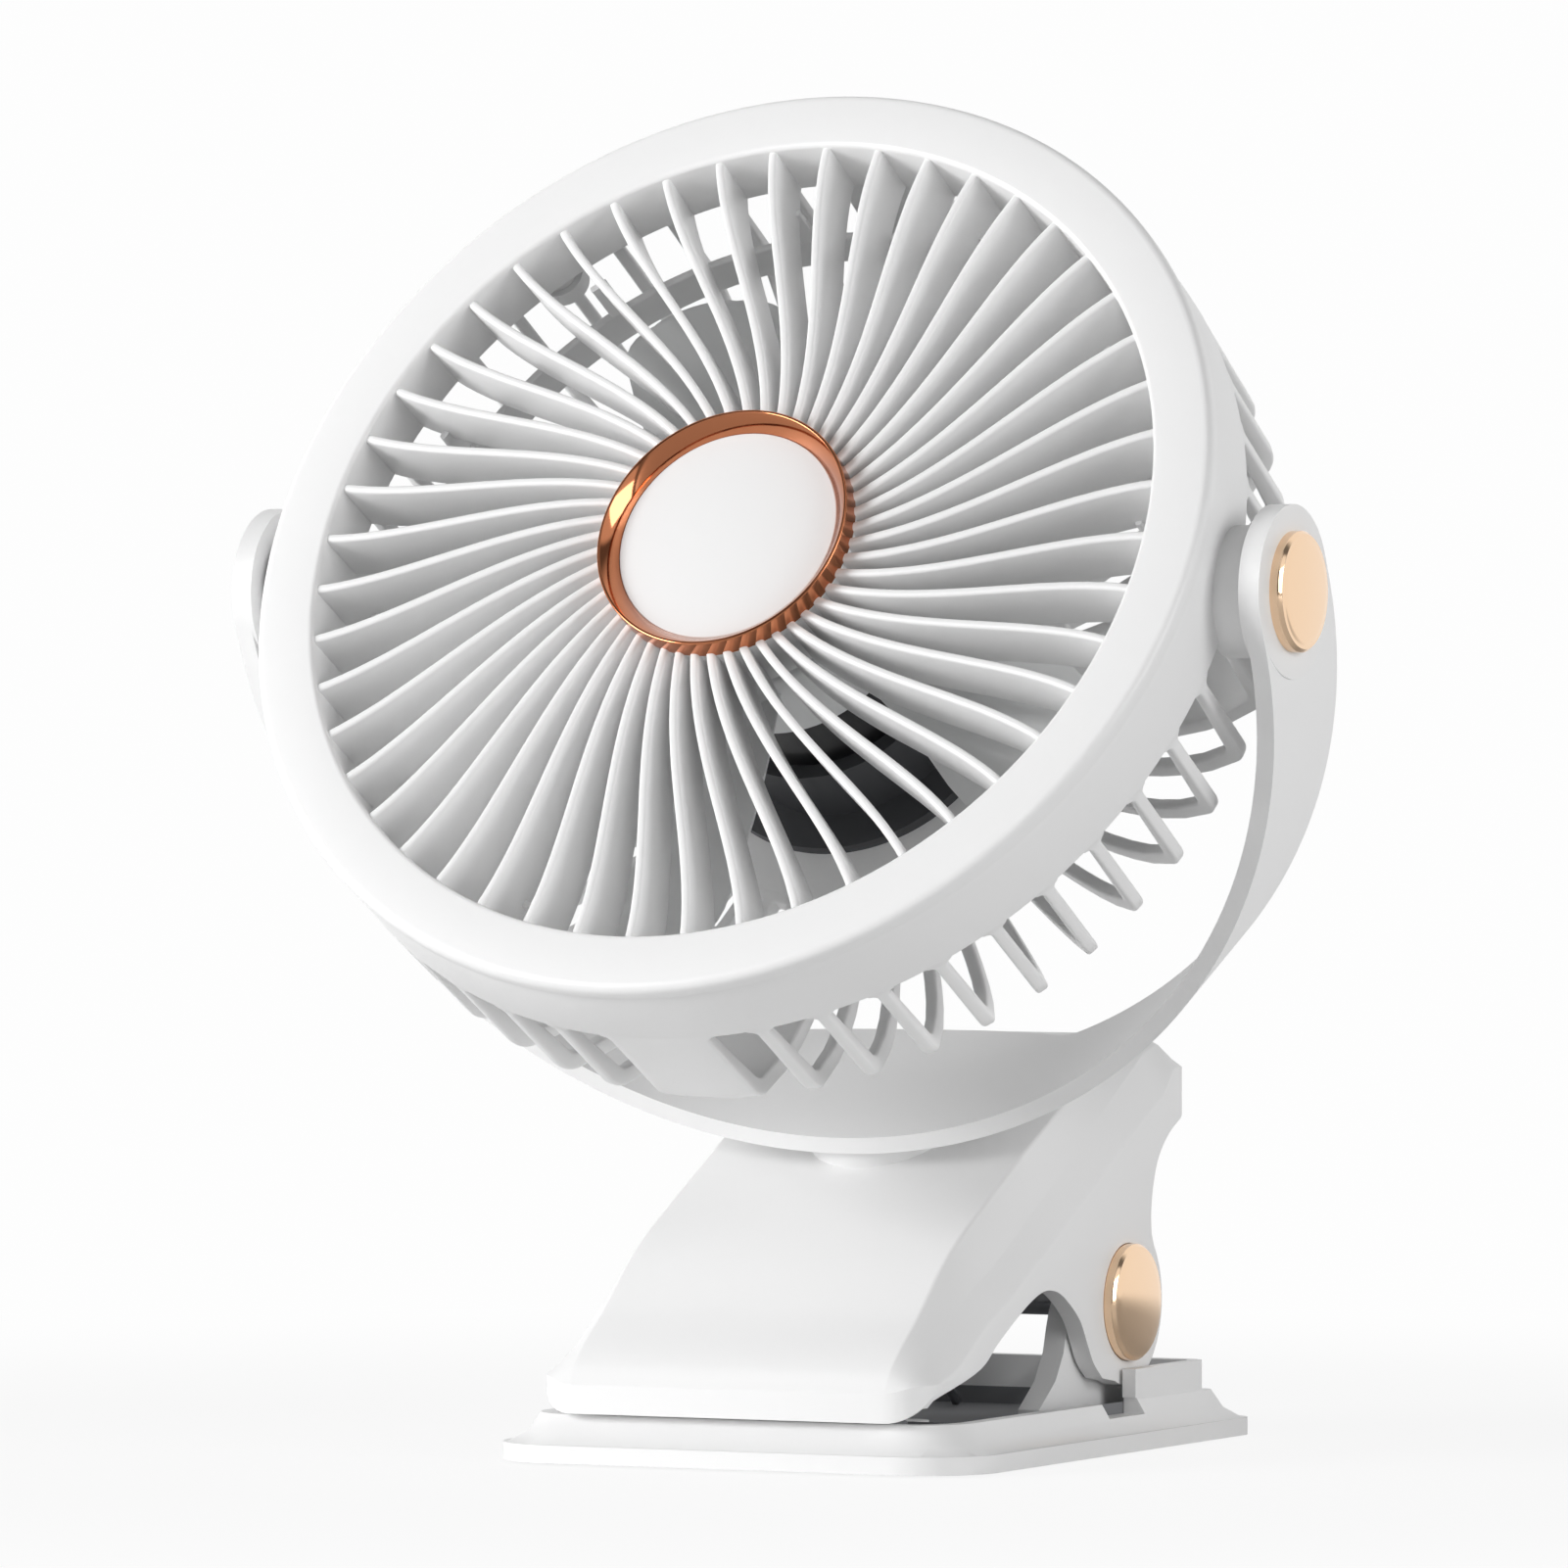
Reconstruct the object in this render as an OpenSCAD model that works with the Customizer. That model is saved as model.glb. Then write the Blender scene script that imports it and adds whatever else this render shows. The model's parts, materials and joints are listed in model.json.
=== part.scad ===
// Clip-on camping fan.
// +Z is up, the fan faces -Y, and the origin is the middle of the base's underside.

/* [Placement] */
// How far behind the middle of the base the swivel axis meets the clip's deck
swivel_y = 4.13; // [0:0.01:10]
// How far the face looks up at rest, in degrees
head_tilt = 29.5; // [0:0.5:60]
// Forward lean of the yoke, which is also the slope of the clip's deck, in degrees
deck_slope = 25; // [15:0.5:30]

/* [Head] */
// Outer radius of the front ring
ring_r = 82.5; // [78:0.1:84]
// Width of the ring's flat face
ring_face_w = 10; // [6:0.5:14]
// Thickness of the front ring
ring_t = 3; // [2:0.1:5]
// Distance from the tilt axis forward to the ring's face
face_forward = 19; // [16:0.5:22]
// Depth of the plain band behind the ring's face
band_depth = 17.3; // [16:0.1:22]
// How much smaller the housing is than the ring, in radius
ring_lip = 0.3; // [0.1:0.1:1]
// Wall of the plain band
band_wall = 2; // [1.6:0.1:3]
// Depth from the ring's face to the back plate's outer face
head_depth = 59.5; // [54:0.5:66]
// Wall of the back plate and depth of the bars
back_wall = 3; // [2:0.1:4]
// Radius of the back plate
plate_r = 35; // [30:0.5:40]
// Radius of the rounded corner between side bars and back bars
rib_corner_r = 7; // [4:0.5:10]
// Number of slots in each quarter of the housing
slot_count = 11; // [6:1:11]
// Angle from slot to slot, in degrees
slot_pitch = 7.2; // [7:0.1:7.5]
// Width of each bar
rib_w = 2.2; // [1.6:0.1:3]

/* [Front vanes] */
// Number of swirled vanes
vane_count = 48; // [32:4:56]
// Thickness of each vane
vane_t = 1.5; // [1:0.1:1.6]
// Depth of each vane along the fan's axis
vane_depth = 11.5; // [6:0.5:12]
// How far the vanes' front edges lie behind the ring's face
vane_recess = 0.8; // [0:0.1:2]
// Sweep of a vane from hub to ring, in degrees
vane_sweep = 17; // [0:1:25]
// How late a vane bends: 1 is even, more is nearer the hub
vane_bend = 1.9; // [1:0.1:2.5]
// Gap between the blade tips and the air guide ring
tip_gap = 2.5; // [2:0.1:4]
// Wall of the air guide ring
guide_t = 1.4; // [1:0.1:2]
// Length of the air guide ring along the fan's axis
guide_len = 7; // [4:0.5:9]
// Number of legs that carry the air guide ring
guide_legs = 12; // [6:2:16]

/* [Hub] */
// Outer radius of the metallic hub ring
hub_ring_r = 21.6; // [20:0.1:26]
// Width of the hub ring's edge
hub_ring_w = 2.8; // [2:0.1:5]
// How far the hub ring stands out of the front ring's plane
hub_proud = 2.3; // [0.5:0.1:5]
// How far the hub cap lies inside the hub ring
hub_cap_recess = 2.7; // [0.6:0.1:3]

/* [Impeller and motor] */
// How far inside the front ring's face the blade tips run
blade_inset = 9; // [8:0.5:14]
// Number of blades
blade_count = 5; // [3:1:7]
// Width of a blade near its tip
blade_w = 29; // [20:1:34]
// How far a blade's tip is swept to one side
blade_sweep = 7; // [0:1:12]
// Thickness of a blade
blade_t = 1.6; // [1.2:0.1:2.2]
// Pitch of a blade against the plane of rotation, in degrees
blade_pitch = 25; // [10:1:28]
// Radius of the impeller's hub
impeller_hub_r = 20; // [16:0.5:21]
// Gap from the vanes back to the impeller's hub
vane_gap = 2.2; // [1.5:0.1:4]
// Length of the impeller's hub
impeller_hub_len = 15.5; // [12:0.5:17]
// Radius of the motor shaft
shaft_r = 1.5; // [1:0.1:2]
// Radius of the motor
motor_r = 19; // [12:0.5:20]
// Length of the motor
motor_len = 17.5; // [14:0.5:20]
// Gap from the impeller's hub back to the motor
motor_gap = 0.6; // [0.4:0.1:2]

/* [Tilt joint] */
// Radius of the housing's round side bosses
side_boss_r = 10.5; // [8:0.5:12]
// Radius of the tilt pins
tilt_pin_r = 3; // [2:0.1:4]
// Radius of the tilt pins' heads
tilt_head_r = 5.6; // [4.5:0.1:6.5]
// Radius of the metallic tilt caps
tilt_cap_r = 9.6; // [8:0.1:11]
// Thickness of a friction washer
washer_t = 0.7; // [0.4:0.1:1]
// Radius of each friction washer
friction_washer_r = 9.5; // [8:0.1:10]

/* [Yoke] */
// Gap between the front ring and the yoke's round ends
side_gap = 5.3; // [4:0.1:8]
// How far the bend's centre lies below the tilt axis
yoke_drop = 3.1; // [0:0.1:8]
// Thickness of the yoke's strap
yoke_t = 2.9; // [2:0.1:3.2]
// Radius of the yoke's round ends
yoke_end_r = 13.8; // [12:0.1:16]
// Thickness of the yoke's round ends
yoke_end_t = 3.5; // [3.2:0.1:4.5]
// Radius of the wide belly at the bottom, seen from above
belly_r = 45; // [36:1:60]
// Reach of the belly behind the yoke's centre line
belly_reach = 25.4; // [16:0.1:30]

/* [Swivel joint] */
// Radius of the disc between yoke and clip
disc_r = 12; // [10:0.5:14]
// Height of the disc at the yoke's centre line
disc_h = 4.1; // [3:0.1:6]
// Radius of the swivel stem
stem_r = 4; // [3:0.1:5]
// Radius of the washer under the deck
swivel_washer_r = 7.5; // [6:0.5:8]

/* [Clip, upper jaw] */
// Half the width of the upper jaw
jaw_half_w = 35; // [33:0.5:38]
// Half the width of the flat top
deck_half_w = 28; // [24:0.5:29]
// Wall of the upper jaw
jaw_wall = 2.4; // [2:0.1:3]
// Thickness of the upper ears
ear_t = 3.1; // [2.6:0.1:4]
// Height of the deck where the swivel axis meets it
deck_z = 50.93; // [48:0.01:56]
// Distance from the deck's surface to the underside cover's outer face
jaw_depth = 15.4; // [14:0.1:18]
// Height of the level part of the underside cover
cover_level_z = 35.3; // [34.8:0.1:36]
// Thickness of the underside cover
cover_t = 2; // [1.5:0.1:2.5]
// Distance from the hinge pin forward to the jaw's lip
lip_reach = 78.5; // [70:0.5:88]
// Radius of the jaw's front corners, seen from above
lip_corner_r = 7.5; // [6:0.5:14]
// Radius of the rounding under the jaw's front corners, seen from the front
lip_round_r = 7; // [4:0.5:8]
// Radius of the lever's corners, seen from above
lever_corner_r = 2.8; // [2.4:0.1:6]

/* [Clip, hinge] */
// Distance of the hinge pin behind the middle of the base
hinge_y = 24; // [20:0.5:28]
// Height of the hinge pin
hinge_z = 23.8; // [23:0.1:25]
// Radius of the hinge pin
hinge_pin_r = 2.5; // [2:0.1:3]
// Radius of the upper ears
ear_r = 13.7; // [12:0.1:14]
// Radius of the lower ears
lower_ear_r = 10.5; // [8:0.1:11]
// Thickness of the lower ears
lower_ear_t = 3.8; // [3:0.1:5]
// Gap between an upper and a lower ear
ear_gap = 0.5; // [0.3:0.1:1]
// Radius of the metallic hinge caps
hinge_cap_r = 9.6; // [8:0.1:11]
// How far the caps stand out of what they cover
cap_proud = 2.7; // [1:0.1:3.5]
// Depth of the caps' seats
cap_seat = 0.6; // [0.4:0.1:1]
// Reach of the spring's upper arm
upper_arm = 8; // [6:0.5:9]
// Reach of the spring's lower arm
lower_arm = 17; // [10:0.5:20]
// Mean radius of the spring's coil
coil_r = 4.6; // [4:0.1:5.5]
// Radius of the spring wire
wire_r = 0.9; // [0.6:0.1:1]
// Whole turns of the spring
coil_turns = 4; // [3:1:6]

/* [Base] */
// Half the width of the base
base_half_w = 43.5; // [42:0.5:48]
// Half the length of the base
base_half_l = 57.5; // [56:0.5:64]
// Height of the flange's edge above the ground
flange_z = 0.4; // [0.2:0.1:0.8]
// Top of the flange's edge
flange_top = 3.3; // [3:0.1:4]
// Top of the rim, where the lip comes down
rim_z = 8; // [7:0.1:8.2]
// How far the rim is set in from the flange
rim_inset = 5.4; // [4:0.1:6.5]
// Wall of the tray
tray_wall = 2.4; // [2:0.1:3]
// Height of the tray's floor
floor_z = 4.4; // [4:0.1:5]
// Thickness of the tray's floor
floor_t = 1.6; // [1.2:0.1:2]
// Top of the raised wall round the hinge end
raised_z = 13; // [11:0.1:13.6]
// Where the raised wall begins, behind the middle of the base
raised_y = 20.5; // [10:0.5:24]
// How far the foot pad lies inside the base's sides
foot_inset = 12.5; // [10:0.5:16]
// How far the foot pad lies inside the base's ends
foot_end_inset = 10.5; // [9:0.5:16]
// Thickness of the cover under the base
bottom_cover_t = 1.8; // [1:0.1:2]
// Gap between the two grip pads of the closed clip
grip_gap = 0.3; // [0.2:0.1:0.6]
// Half the width of the grip pads
pad_half_w = 26; // [20:0.5:30]
// Length of the lower grip pad
pad_l = 10; // [6:0.5:14]
// Length of the openings in the rim beside the lower ears
notch_l = 14; // [10:0.5:16]
// Height of those openings
notch_h = 2.6; // [2:0.1:3]

/* [Battery, button and board] */
// Width of the battery pack
battery_w = 50; // [40:1:54]
// Length of the battery pack along the deck's slope
battery_l = 27; // [20:1:28]
// Thickness of the battery pack
battery_t = 8.5; // [6:0.5:9]
// Radius of the power button
button_r = 3.6; // [3:0.1:3.8]
// Height of the power button
button_z = 42; // [41.8:0.1:42.4]
// Travel of the power button
button_travel = 0.8; // [0.4:0.1:1]
// Width of the circuit board
board_w = 52; // [40:1:54]
// Length of the circuit board
board_l = 15.8; // [12:0.1:18]
// Thickness of the circuit board
board_t = 1.6; // [1:0.1:2]
// Distance from the middle to the charging socket
socket_x = 14; // [10:0.5:18]
// Distance from the middle to the charge light's lens
lens_x = 12; // [8:0.5:16]
// Radius of the charge light's lens
lens_r = 1.5; // [1:0.1:2]

/* [Fasteners and fits] */
// Shank radius of the small screws
screw_r = 1.1; // [0.8:0.1:1.3]
// Head radius of the small screws
screw_head_r = 2.2; // [1.8:0.1:2.6]
// Head height of the small screws
screw_head_h = 1.2; // [0.8:0.1:1.5]
// Running clearance in radius
fit = 0.05; // [0.03:0.01:0.08]
// Clearance between flat faces that turn on each other
face_gap = 0.15; // [0.1:0.05:0.3]

/* [Hidden] */
$fn = 96;
eps = 0.01;
big = 200;

// Head, measured along its own axis, which is Z in the head's frame
ring_in = ring_r - ring_face_w;
blade_tip_r = ring_in - blade_inset;
guide_r = blade_tip_r + tip_gap;
wall_r = ring_r - ring_lip;
ring_back = face_forward - ring_t;
band_end = face_forward - band_depth;
plate_back = face_forward - head_depth;
corner_z = -17.5;
corner_c = wall_r - 0.7 - rib_corner_r;
corner_drop = corner_z - plate_back;
dome_r = (pow(corner_c - plate_r, 2) + pow(corner_drop, 2) - pow(rib_corner_r, 2))
         / (2 * (corner_drop - rib_corner_r));
dome_z = plate_back + dome_r;
dome_start = atan2(corner_z - dome_z, corner_c - plate_r);
dome_steps = 4;
vane_front = face_forward - vane_recess;
vane_back = vane_front - vane_depth;
guide_back = vane_back - 6 - guide_len;
hub_front = face_forward + hub_proud;
hub_wall = 2;
hub_rim_w = 0.5;
shaft_boss_r = 4;
seat_z = vane_front - 0.7;
hub_top = vane_back - vane_gap;
hub_end = hub_top - impeller_hub_len;
blade_z = (hub_top + hub_end) / 2 - 0.2;
blade_turn = -20;
motor_front = hub_end - motor_gap;
motor_back = motor_front - motor_len;
plate_inner = plate_back + back_wall;
lug_r = 4;
lug_t = 3;
lug_place_r = wall_r - band_wall - lug_r + 0.2;
lug_angles = [for (q = [0 : 3]) 45 + slot_pitch / 2 + 90 * q];
lug_screw_len = 11;
post_r = 3;
bracket_r = motor_r + 8.5;
bracket_screw_r = motor_r + 5.5;
bracket_angles = [30, 150, 270];

// Yoke and tilt joint, measured along X
yoke_in = ring_r + side_gap;
yoke_r = yoke_in + yoke_end_t;
boss_face = yoke_in - face_gap - washer_t;
cap_floor = yoke_r - cap_seat;
pin_head_h = 1.1;
pin_well = pin_head_h + 0.4;
pin_root = wall_r - 7.5;

// Deck, whose frame has its origin where the swivel axis meets the deck
yoke_bottom = yoke_r + yoke_drop;
swivel_reach = yoke_bottom + disc_h;
pivot_forward = swivel_reach * sin(deck_slope) - swivel_y;
pivot_z = deck_z + swivel_reach * cos(deck_slope);
stem_end = -jaw_wall - face_gap;
swivel_washer_t = 1;
post_hole_r = 1.5;

// Clip, upper jaw
lip_y = hinge_y - lip_reach;
lip_z = rim_z + grip_gap;
lever_y = 48;
lever_top = 67.2;
nose_start_y = -22;
cover_lip_z = lip_z + 2.1;
cavity_half_w = jaw_half_w - ear_t;
slope_t = tan(deck_slope);
slope_start = cover_y_at(cover_lip_z);
slope_end = cover_y_at(cover_level_z);
cover_bend = cover_t * tan(deck_slope / 2);
lip_pad_corner_r = min(2, 0.3 * (slope_start - lip_y));
back_wall_y = 33.4;
back_inner_y = 31.2;
jaw_post_r = 2.7;
jaw_post_x = 28;
jaw_post_y = [-36, -9];
board_z = cover_level_z + cover_t + 1.3;
board_top = board_z + board_t;
board_rib_x = 22;
socket_half_h = 1.6;
flange_t = 1.2;
switch_tip = 0.3;
switch_y = back_inner_y - flange_t - button_travel - 0.1;

// Clip, hinge
lower_ear_out = cavity_half_w - ear_gap;
lower_ear_in = lower_ear_out - lower_ear_t;
pin_end = jaw_half_w - cap_seat - 0.1;

// Base
rim_half_w = base_half_w - rim_inset;
rim_half_l = base_half_l - rim_inset;
tray_half_w = jaw_half_w + 0.6;
front_corner_r = 13;
rear_corner_r = 5;
raised_corner_r = 3.4;
pocket_z = floor_z - floor_t;
cover_z = pocket_z - bottom_cover_t;
screw_x = base_half_w - 21.5;
front_screw_y = 25.5 - base_half_l;
rear_screw_y = base_half_l - 15.5;
base_screws = [for (x = [-screw_x, screw_x], y = [front_screw_y, rear_screw_y]) [x, y]];
base_boss_h = 3;
foot_corner_r = 9;
base_boss_r = 3;
pocket_inset = 6;
rear_inset = 2.2;
bottom_seat_z = cover_z + screw_head_h;
boss_top = floor_z + base_boss_h;

// Functions

// Points of an arc
function arc(cx, cy, r, a0, a1, n) =
    [for (i = [0 : n]) let (a = a0 + (a1 - a0) * i / n) [cx + r * cos(a), cy + r * sin(a)]];

// A smooth curve through points, with n steps from each to the next
function smooth(p, n) = concat(
    [for (i = [0 : len(p) - 2], k = [0 : n - 1])
        spline_point(p[max(i - 1, 0)], p[i], p[i + 1], p[min(i + 2, len(p) - 1)], k / n)],
    [p[len(p) - 1]]);

// A point between b and c of the curve that runs on from a and on to d
function spline_point(a, b, c, d, t) =
    b + (c - a) * t / 2 + (2 * a - 5 * b + 4 * c - d) * t * t / 2 + (3 * b - a - 3 * c + d) * t * t * t / 2;

// Where the sloping part of the underside cover reaches a height
function cover_y_at(z) =
    swivel_y + (z - deck_z + jaw_depth / cos(deck_slope)) / slope_t;

// Height of the deck's plane above a place on the Y axis
function deck_at(y) = deck_z + (y - swivel_y) * slope_t;

// Turn of a vane's centre line at a radius
function vane_turn(r) = -vane_sweep * pow(max(0, (ring_in - r) / 50), vane_bend);

// Point of a vane's centre line
function vane_point(r) = [r * cos(vane_turn(r)), r * sin(vane_turn(r))];

// Frames

module pivot_frame() translate([0, -pivot_forward, pivot_z]) children();

module head_frame() pivot_frame() rotate([90 - head_tilt, 0, 0]) children();

module yoke_frame() pivot_frame() rotate([deck_slope, 0, 0]) children();

module deck_frame() yoke_frame() translate([0, 0, -swivel_reach]) children();

module hinge_frame() translate([0, hinge_y, hinge_z]) children();

// A cylinder along +X that starts at x
module x_rod(x, r, length) translate([x, 0, 0]) rotate([0, 90, 0]) cylinder(r = r, h = length);

// A side outline, given as points of Y and Z, drawn out along X
module side_prism(points, x0, x1)
    translate([x0, 0, 0]) rotate([90, 0, 90]) linear_extrude(x1 - x0) polygon(points);

// A rectangle with its own radius for the front and the rear corners
module rounded_plan(half_w, y0, y1, front_r, rear_r) {
    translate([-half_w, y0 + front_r]) square([2 * half_w, y1 - y0 - front_r - rear_r]);
    translate([-half_w + front_r, y0]) square([2 * (half_w - front_r), front_r]);
    translate([-half_w + rear_r, y1 - rear_r]) square([2 * (half_w - rear_r), rear_r]);
    for (s = [-1, 1]) {
        translate([s * (half_w - front_r), y0 + front_r]) circle(r = front_r);
        translate([s * (half_w - rear_r), y1 - rear_r]) circle(r = rear_r);
    }
}

// The base's outline, set in by a distance
module base_plan(inset)
    rounded_plan(base_half_w - inset, inset - base_half_l, base_half_l - inset,
                 front_corner_r - inset * 0.6, rear_corner_r - inset * 0.6);

// A screw that stands on its head at z = 0, with the head going down
module screw(shank_len) {
    cylinder(r = screw_r, h = shank_len);
    translate([0, 0, -screw_head_h]) difference() {
        cylinder(r = screw_head_r, h = screw_head_h);
        translate([-0.3, -1.3, -eps]) cube([0.6, 2.6, 0.5]);
        translate([-1.3, -0.3, -eps]) cube([2.6, 0.6, 0.5]);
    }
}

// A round metallic cap with a bevelled face, seated at x
module metal_cap(x, r) {
    bevel = 0.8;
    full = cap_seat + cap_proud;
    translate([x, 0, 0]) rotate([0, 90, 0]) rotate_extrude()
        polygon([[0, 0], [r, 0], [r, full - bevel], [r - bevel, full], [0, full]]);
}

// Base

module lower_ear_side() {
    front = [[hinge_y - 27, pocket_z + 1], [hinge_y - 27, rim_z - 0.5], [hinge_y - 20.6, 11.8],
             [hinge_y - 17.4, 16.3], [hinge_y - 16.1, 20.3], [hinge_y - 15, 23], [hinge_y - 12, 27.4]];
    rear = [[hinge_y + lower_ear_r, hinge_z], [hinge_y + 14, rim_z + 2], [hinge_y + 15.5, pocket_z + 1]];
    tops = arc(hinge_y, hinge_z, lower_ear_r, 130, 0, 12);
    for (s = [-1, 1])
        side_prism(concat(front, tops, rear), s > 0 ? lower_ear_in : -lower_ear_out,
                   s > 0 ? lower_ear_out : -lower_ear_in);
}

module base_plate() color("white") difference() {
    union() {
        difference() {
            union() {
                translate([0, 0, flange_z]) linear_extrude(flange_top - flange_z) base_plan(0);
                hull() {
                    translate([0, 0, flange_top - eps]) linear_extrude(eps) base_plan(0.9, $fn = 32);
                    translate([0, 0, 5]) linear_extrude(eps) base_plan(3.6, $fn = 32);
                }
                hull() {
                    translate([0, 0, 5]) linear_extrude(eps) base_plan(3.6, $fn = 32);
                    translate([0, 0, rim_z - eps]) linear_extrude(eps) base_plan(rim_inset, $fn = 32);
                }
                translate([0, 0, floor_z]) linear_extrude(raised_z - floor_z) intersection() {
                    rounded_plan(tray_half_w + tray_wall, -rim_half_l, rim_half_l - rear_inset,
                                 8, raised_corner_r);
                    translate([-big / 2, raised_y]) square(big);
                }
            }
            translate([0, 0, floor_z]) linear_extrude(big)
                rounded_plan(tray_half_w, tray_wall - rim_half_l, rim_half_l - rear_inset - tray_wall,
                             8, raised_corner_r - tray_wall);
        }
        lower_ear_side();
        for (p = base_screws)
            translate([p[0], p[1], floor_z - eps]) cylinder(r = base_boss_r, h = base_boss_h);
    }
    translate([0, 0, -eps]) linear_extrude(pocket_z + eps) base_plan(pocket_inset);
    for (p = base_screws)
        translate([p[0], p[1], 0]) cylinder(r = screw_r, h = boss_top - 0.5);
    hinge_frame() x_rod(-big / 2, hinge_pin_r, big);
    for (s = [-1, 1])
        translate([s > 0 ? tray_half_w - 0.1 : -big / 2, hinge_y - 3 - notch_l, rim_z + 0.3 - notch_h])
            cube([big / 2 - tray_half_w + 0.1, notch_l, notch_h]);
}

module bottom_cover() color("white") difference() {
    translate([0, 0, cover_z]) linear_extrude(bottom_cover_t) base_plan(pocket_inset + face_gap);
    for (p = base_screws) translate([p[0], p[1], 0]) {
        cylinder(r = screw_r + fit, h = floor_z);
        cylinder(r = screw_head_r + fit, h = bottom_seat_z);
    }
}

module bottom_screws() color("silver") for (p = base_screws)
    translate([p[0], p[1], bottom_seat_z]) screw(boss_top - 0.7 - bottom_seat_z);

module foot_pad() color("dimgray") linear_extrude(cover_z)
    rounded_plan(base_half_w - foot_inset, foot_end_inset - base_half_l, base_half_l - foot_end_inset, foot_corner_r, foot_corner_r);

module lower_grip_pad() color("dimgray") translate([0, 0, floor_z]) linear_extrude(rim_z - floor_z)
    rounded_plan(pad_half_w, tray_wall + 0.7 - rim_half_l, tray_wall + 0.7 - rim_half_l + pad_l, 3, 3);

module hinge_pin() color("silver") hinge_frame() x_rod(-pin_end, hinge_pin_r, 2 * pin_end);

// Clip, upper jaw

// Side view of the upper jaw, with its two arches' shared top
function jaw_side() = concat(
    [[lip_y - 1, lip_z], [lip_y + 1, lip_z]],
    smooth([[lip_y + 3.5, cover_lip_z + 0.4], [lip_y + 7.5, 12.4], [lip_y + 21.5, 16], [hinge_y - 50.7, 19.6],
            [hinge_y - 41.5, 24.2], [hinge_y - 35, 26.7], [hinge_y - 30.3, 27.2], [hinge_y - 25.3, 25.9],
            [hinge_y - 19.2, 22], [hinge_y - 16.1, 17.9], [hinge_y - 13.6, 14.5], [hinge_y - 10, 11.8]], 3),
    arc(hinge_y, hinge_z, ear_r, -112, 40, 16),
    smooth([[back_wall_y + 0.2, 34.5], [back_wall_y, 38.2], [34.4, 43], [36.6, 47.3], [40.7, 50.9], [46.2, 53.7],
            [lever_y - 0.6, 55.6]], 2),
    [[lever_y, 58], [lever_y, 80], [lip_y - 1, 80]]);

// What rounds the jaw's two lower front edges, seen from the front
module lip_rounding() for (s = [-1, 1])
    translate([s * (jaw_half_w - lip_round_r), lip_y + 24, lip_z + lip_round_r]) rotate([90, 0, 0])
        linear_extrude(26) difference() {
            translate([s > 0 ? 0 : -2 * lip_round_r, -2 * lip_round_r]) square(2 * lip_round_r);
            circle(r = lip_round_r);
        }

// One cross-section of the jaw: flat top, two bevels, straight side
module jaw_section(y, top, mid, low, inset) {
    w1 = deck_half_w - inset * 0.55;
    w2 = deck_half_w + 3.5 - inset * 0.8;
    w3 = jaw_half_w - inset;
    z0 = -5;
    translate([0, y, 0]) rotate([90, 0, 0]) linear_extrude(eps)
        polygon([[-w3, z0], [w3, z0], [w3, low - inset * 0.5], [w2, mid - inset * 0.8], [w1, top - inset],
                 [-w1, top - inset], [-w2, mid - inset * 0.8], [-w3, low - inset * 0.5]]);
}

// A place between the deck's front edge, at 0, and the lip, at 1
function mix_y(k) = nose_start_y + (lip_y - nose_start_y) * k;

// A height of the nose that stays under the deck's plane
function under_deck(y, z) = min(z, deck_at(y) - 0.6);

// The jaw's outer form, or its inner form when inset by a wall
module jaw_form(inset) {
    wall_top = inset / cos(deck_slope);
    crest_y = 33;
    intersection() {
        hull() {
            jaw_section(lip_y, 13, 12.5, 12, wall_top);
            jaw_section(lip_y + 2, 16.3, 14.6, 13, wall_top);
            jaw_section(mix_y(0.615), under_deck(mix_y(0.615), 24.6), 20.3, 16.4, wall_top);
            jaw_section(mix_y(0.292), under_deck(mix_y(0.292), 33.2), 27.2, 22.4, wall_top);
            jaw_section(nose_start_y, deck_at(nose_start_y), 31.2, 26.6, wall_top);
            jaw_section(crest_y, deck_at(crest_y), 61.4, 54.9, wall_top);
            jaw_section(lever_y - 9.5, lever_top - 1, lever_top - 3, lever_top - 9.6, wall_top);
            jaw_section(lever_y - 4.6, lever_top, lever_top - 1.8, lever_top - 5.6, wall_top);
            jaw_section(lever_y - 1.4, lever_top - 3, lever_top - 3.8, lever_top - 5.6, wall_top);
            jaw_section(lever_y, lever_top - 7.6, lever_top - 7.9, lever_top - 8.2, wall_top);
        }
        translate([0, 0, -10]) linear_extrude(100)
            rounded_plan(jaw_half_w - inset, lip_y + inset, lever_y - inset, lip_corner_r - inset,
                         lever_corner_r - inset);
    }
}

// Side view of the space inside the jaw, above the underside cover
function cavity_side() = [
    [lip_y, cover_lip_z + cover_t], [slope_start, cover_lip_z + cover_t],
    [slope_end, cover_level_z + cover_t], [back_inner_y, cover_level_z + cover_t], [back_inner_y, 43.5],
    [34, 49.5], [38.5, 53.5], [43.5, 56], [45.5, 58], [45.5, 80], [lip_y, 80]];

// Side view of the underside cover
function cover_side() = [
    [lip_y + 3.1, cover_lip_z], [slope_start, cover_lip_z], [slope_end, cover_level_z],
    [back_inner_y, cover_level_z], [back_inner_y, cover_level_z + cover_t],
    [slope_end - cover_bend, cover_level_z + cover_t], [slope_start - cover_bend, cover_lip_z + cover_t],
    [lip_y + 3.1, cover_lip_z + cover_t]];

// Side view of the space that the cover fills or leaves open below it
function below_cover() = [
    [lip_y + 3, -1], [lip_y + 3, cover_lip_z + cover_t], [slope_start - cover_bend, cover_lip_z + cover_t],
    [slope_end - cover_bend, cover_level_z + cover_t], [back_inner_y, cover_level_z + cover_t],
    [back_inner_y, cover_level_z - 0.5], [60, cover_level_z - 0.5], [60, -1]];

module jaw_posts(r, z0, z1) deck_frame() for (s = [-1, 1], y = jaw_post_y)
    translate([s * jaw_post_x, y, z0]) cylinder(r = r, h = z1 - z0);

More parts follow.
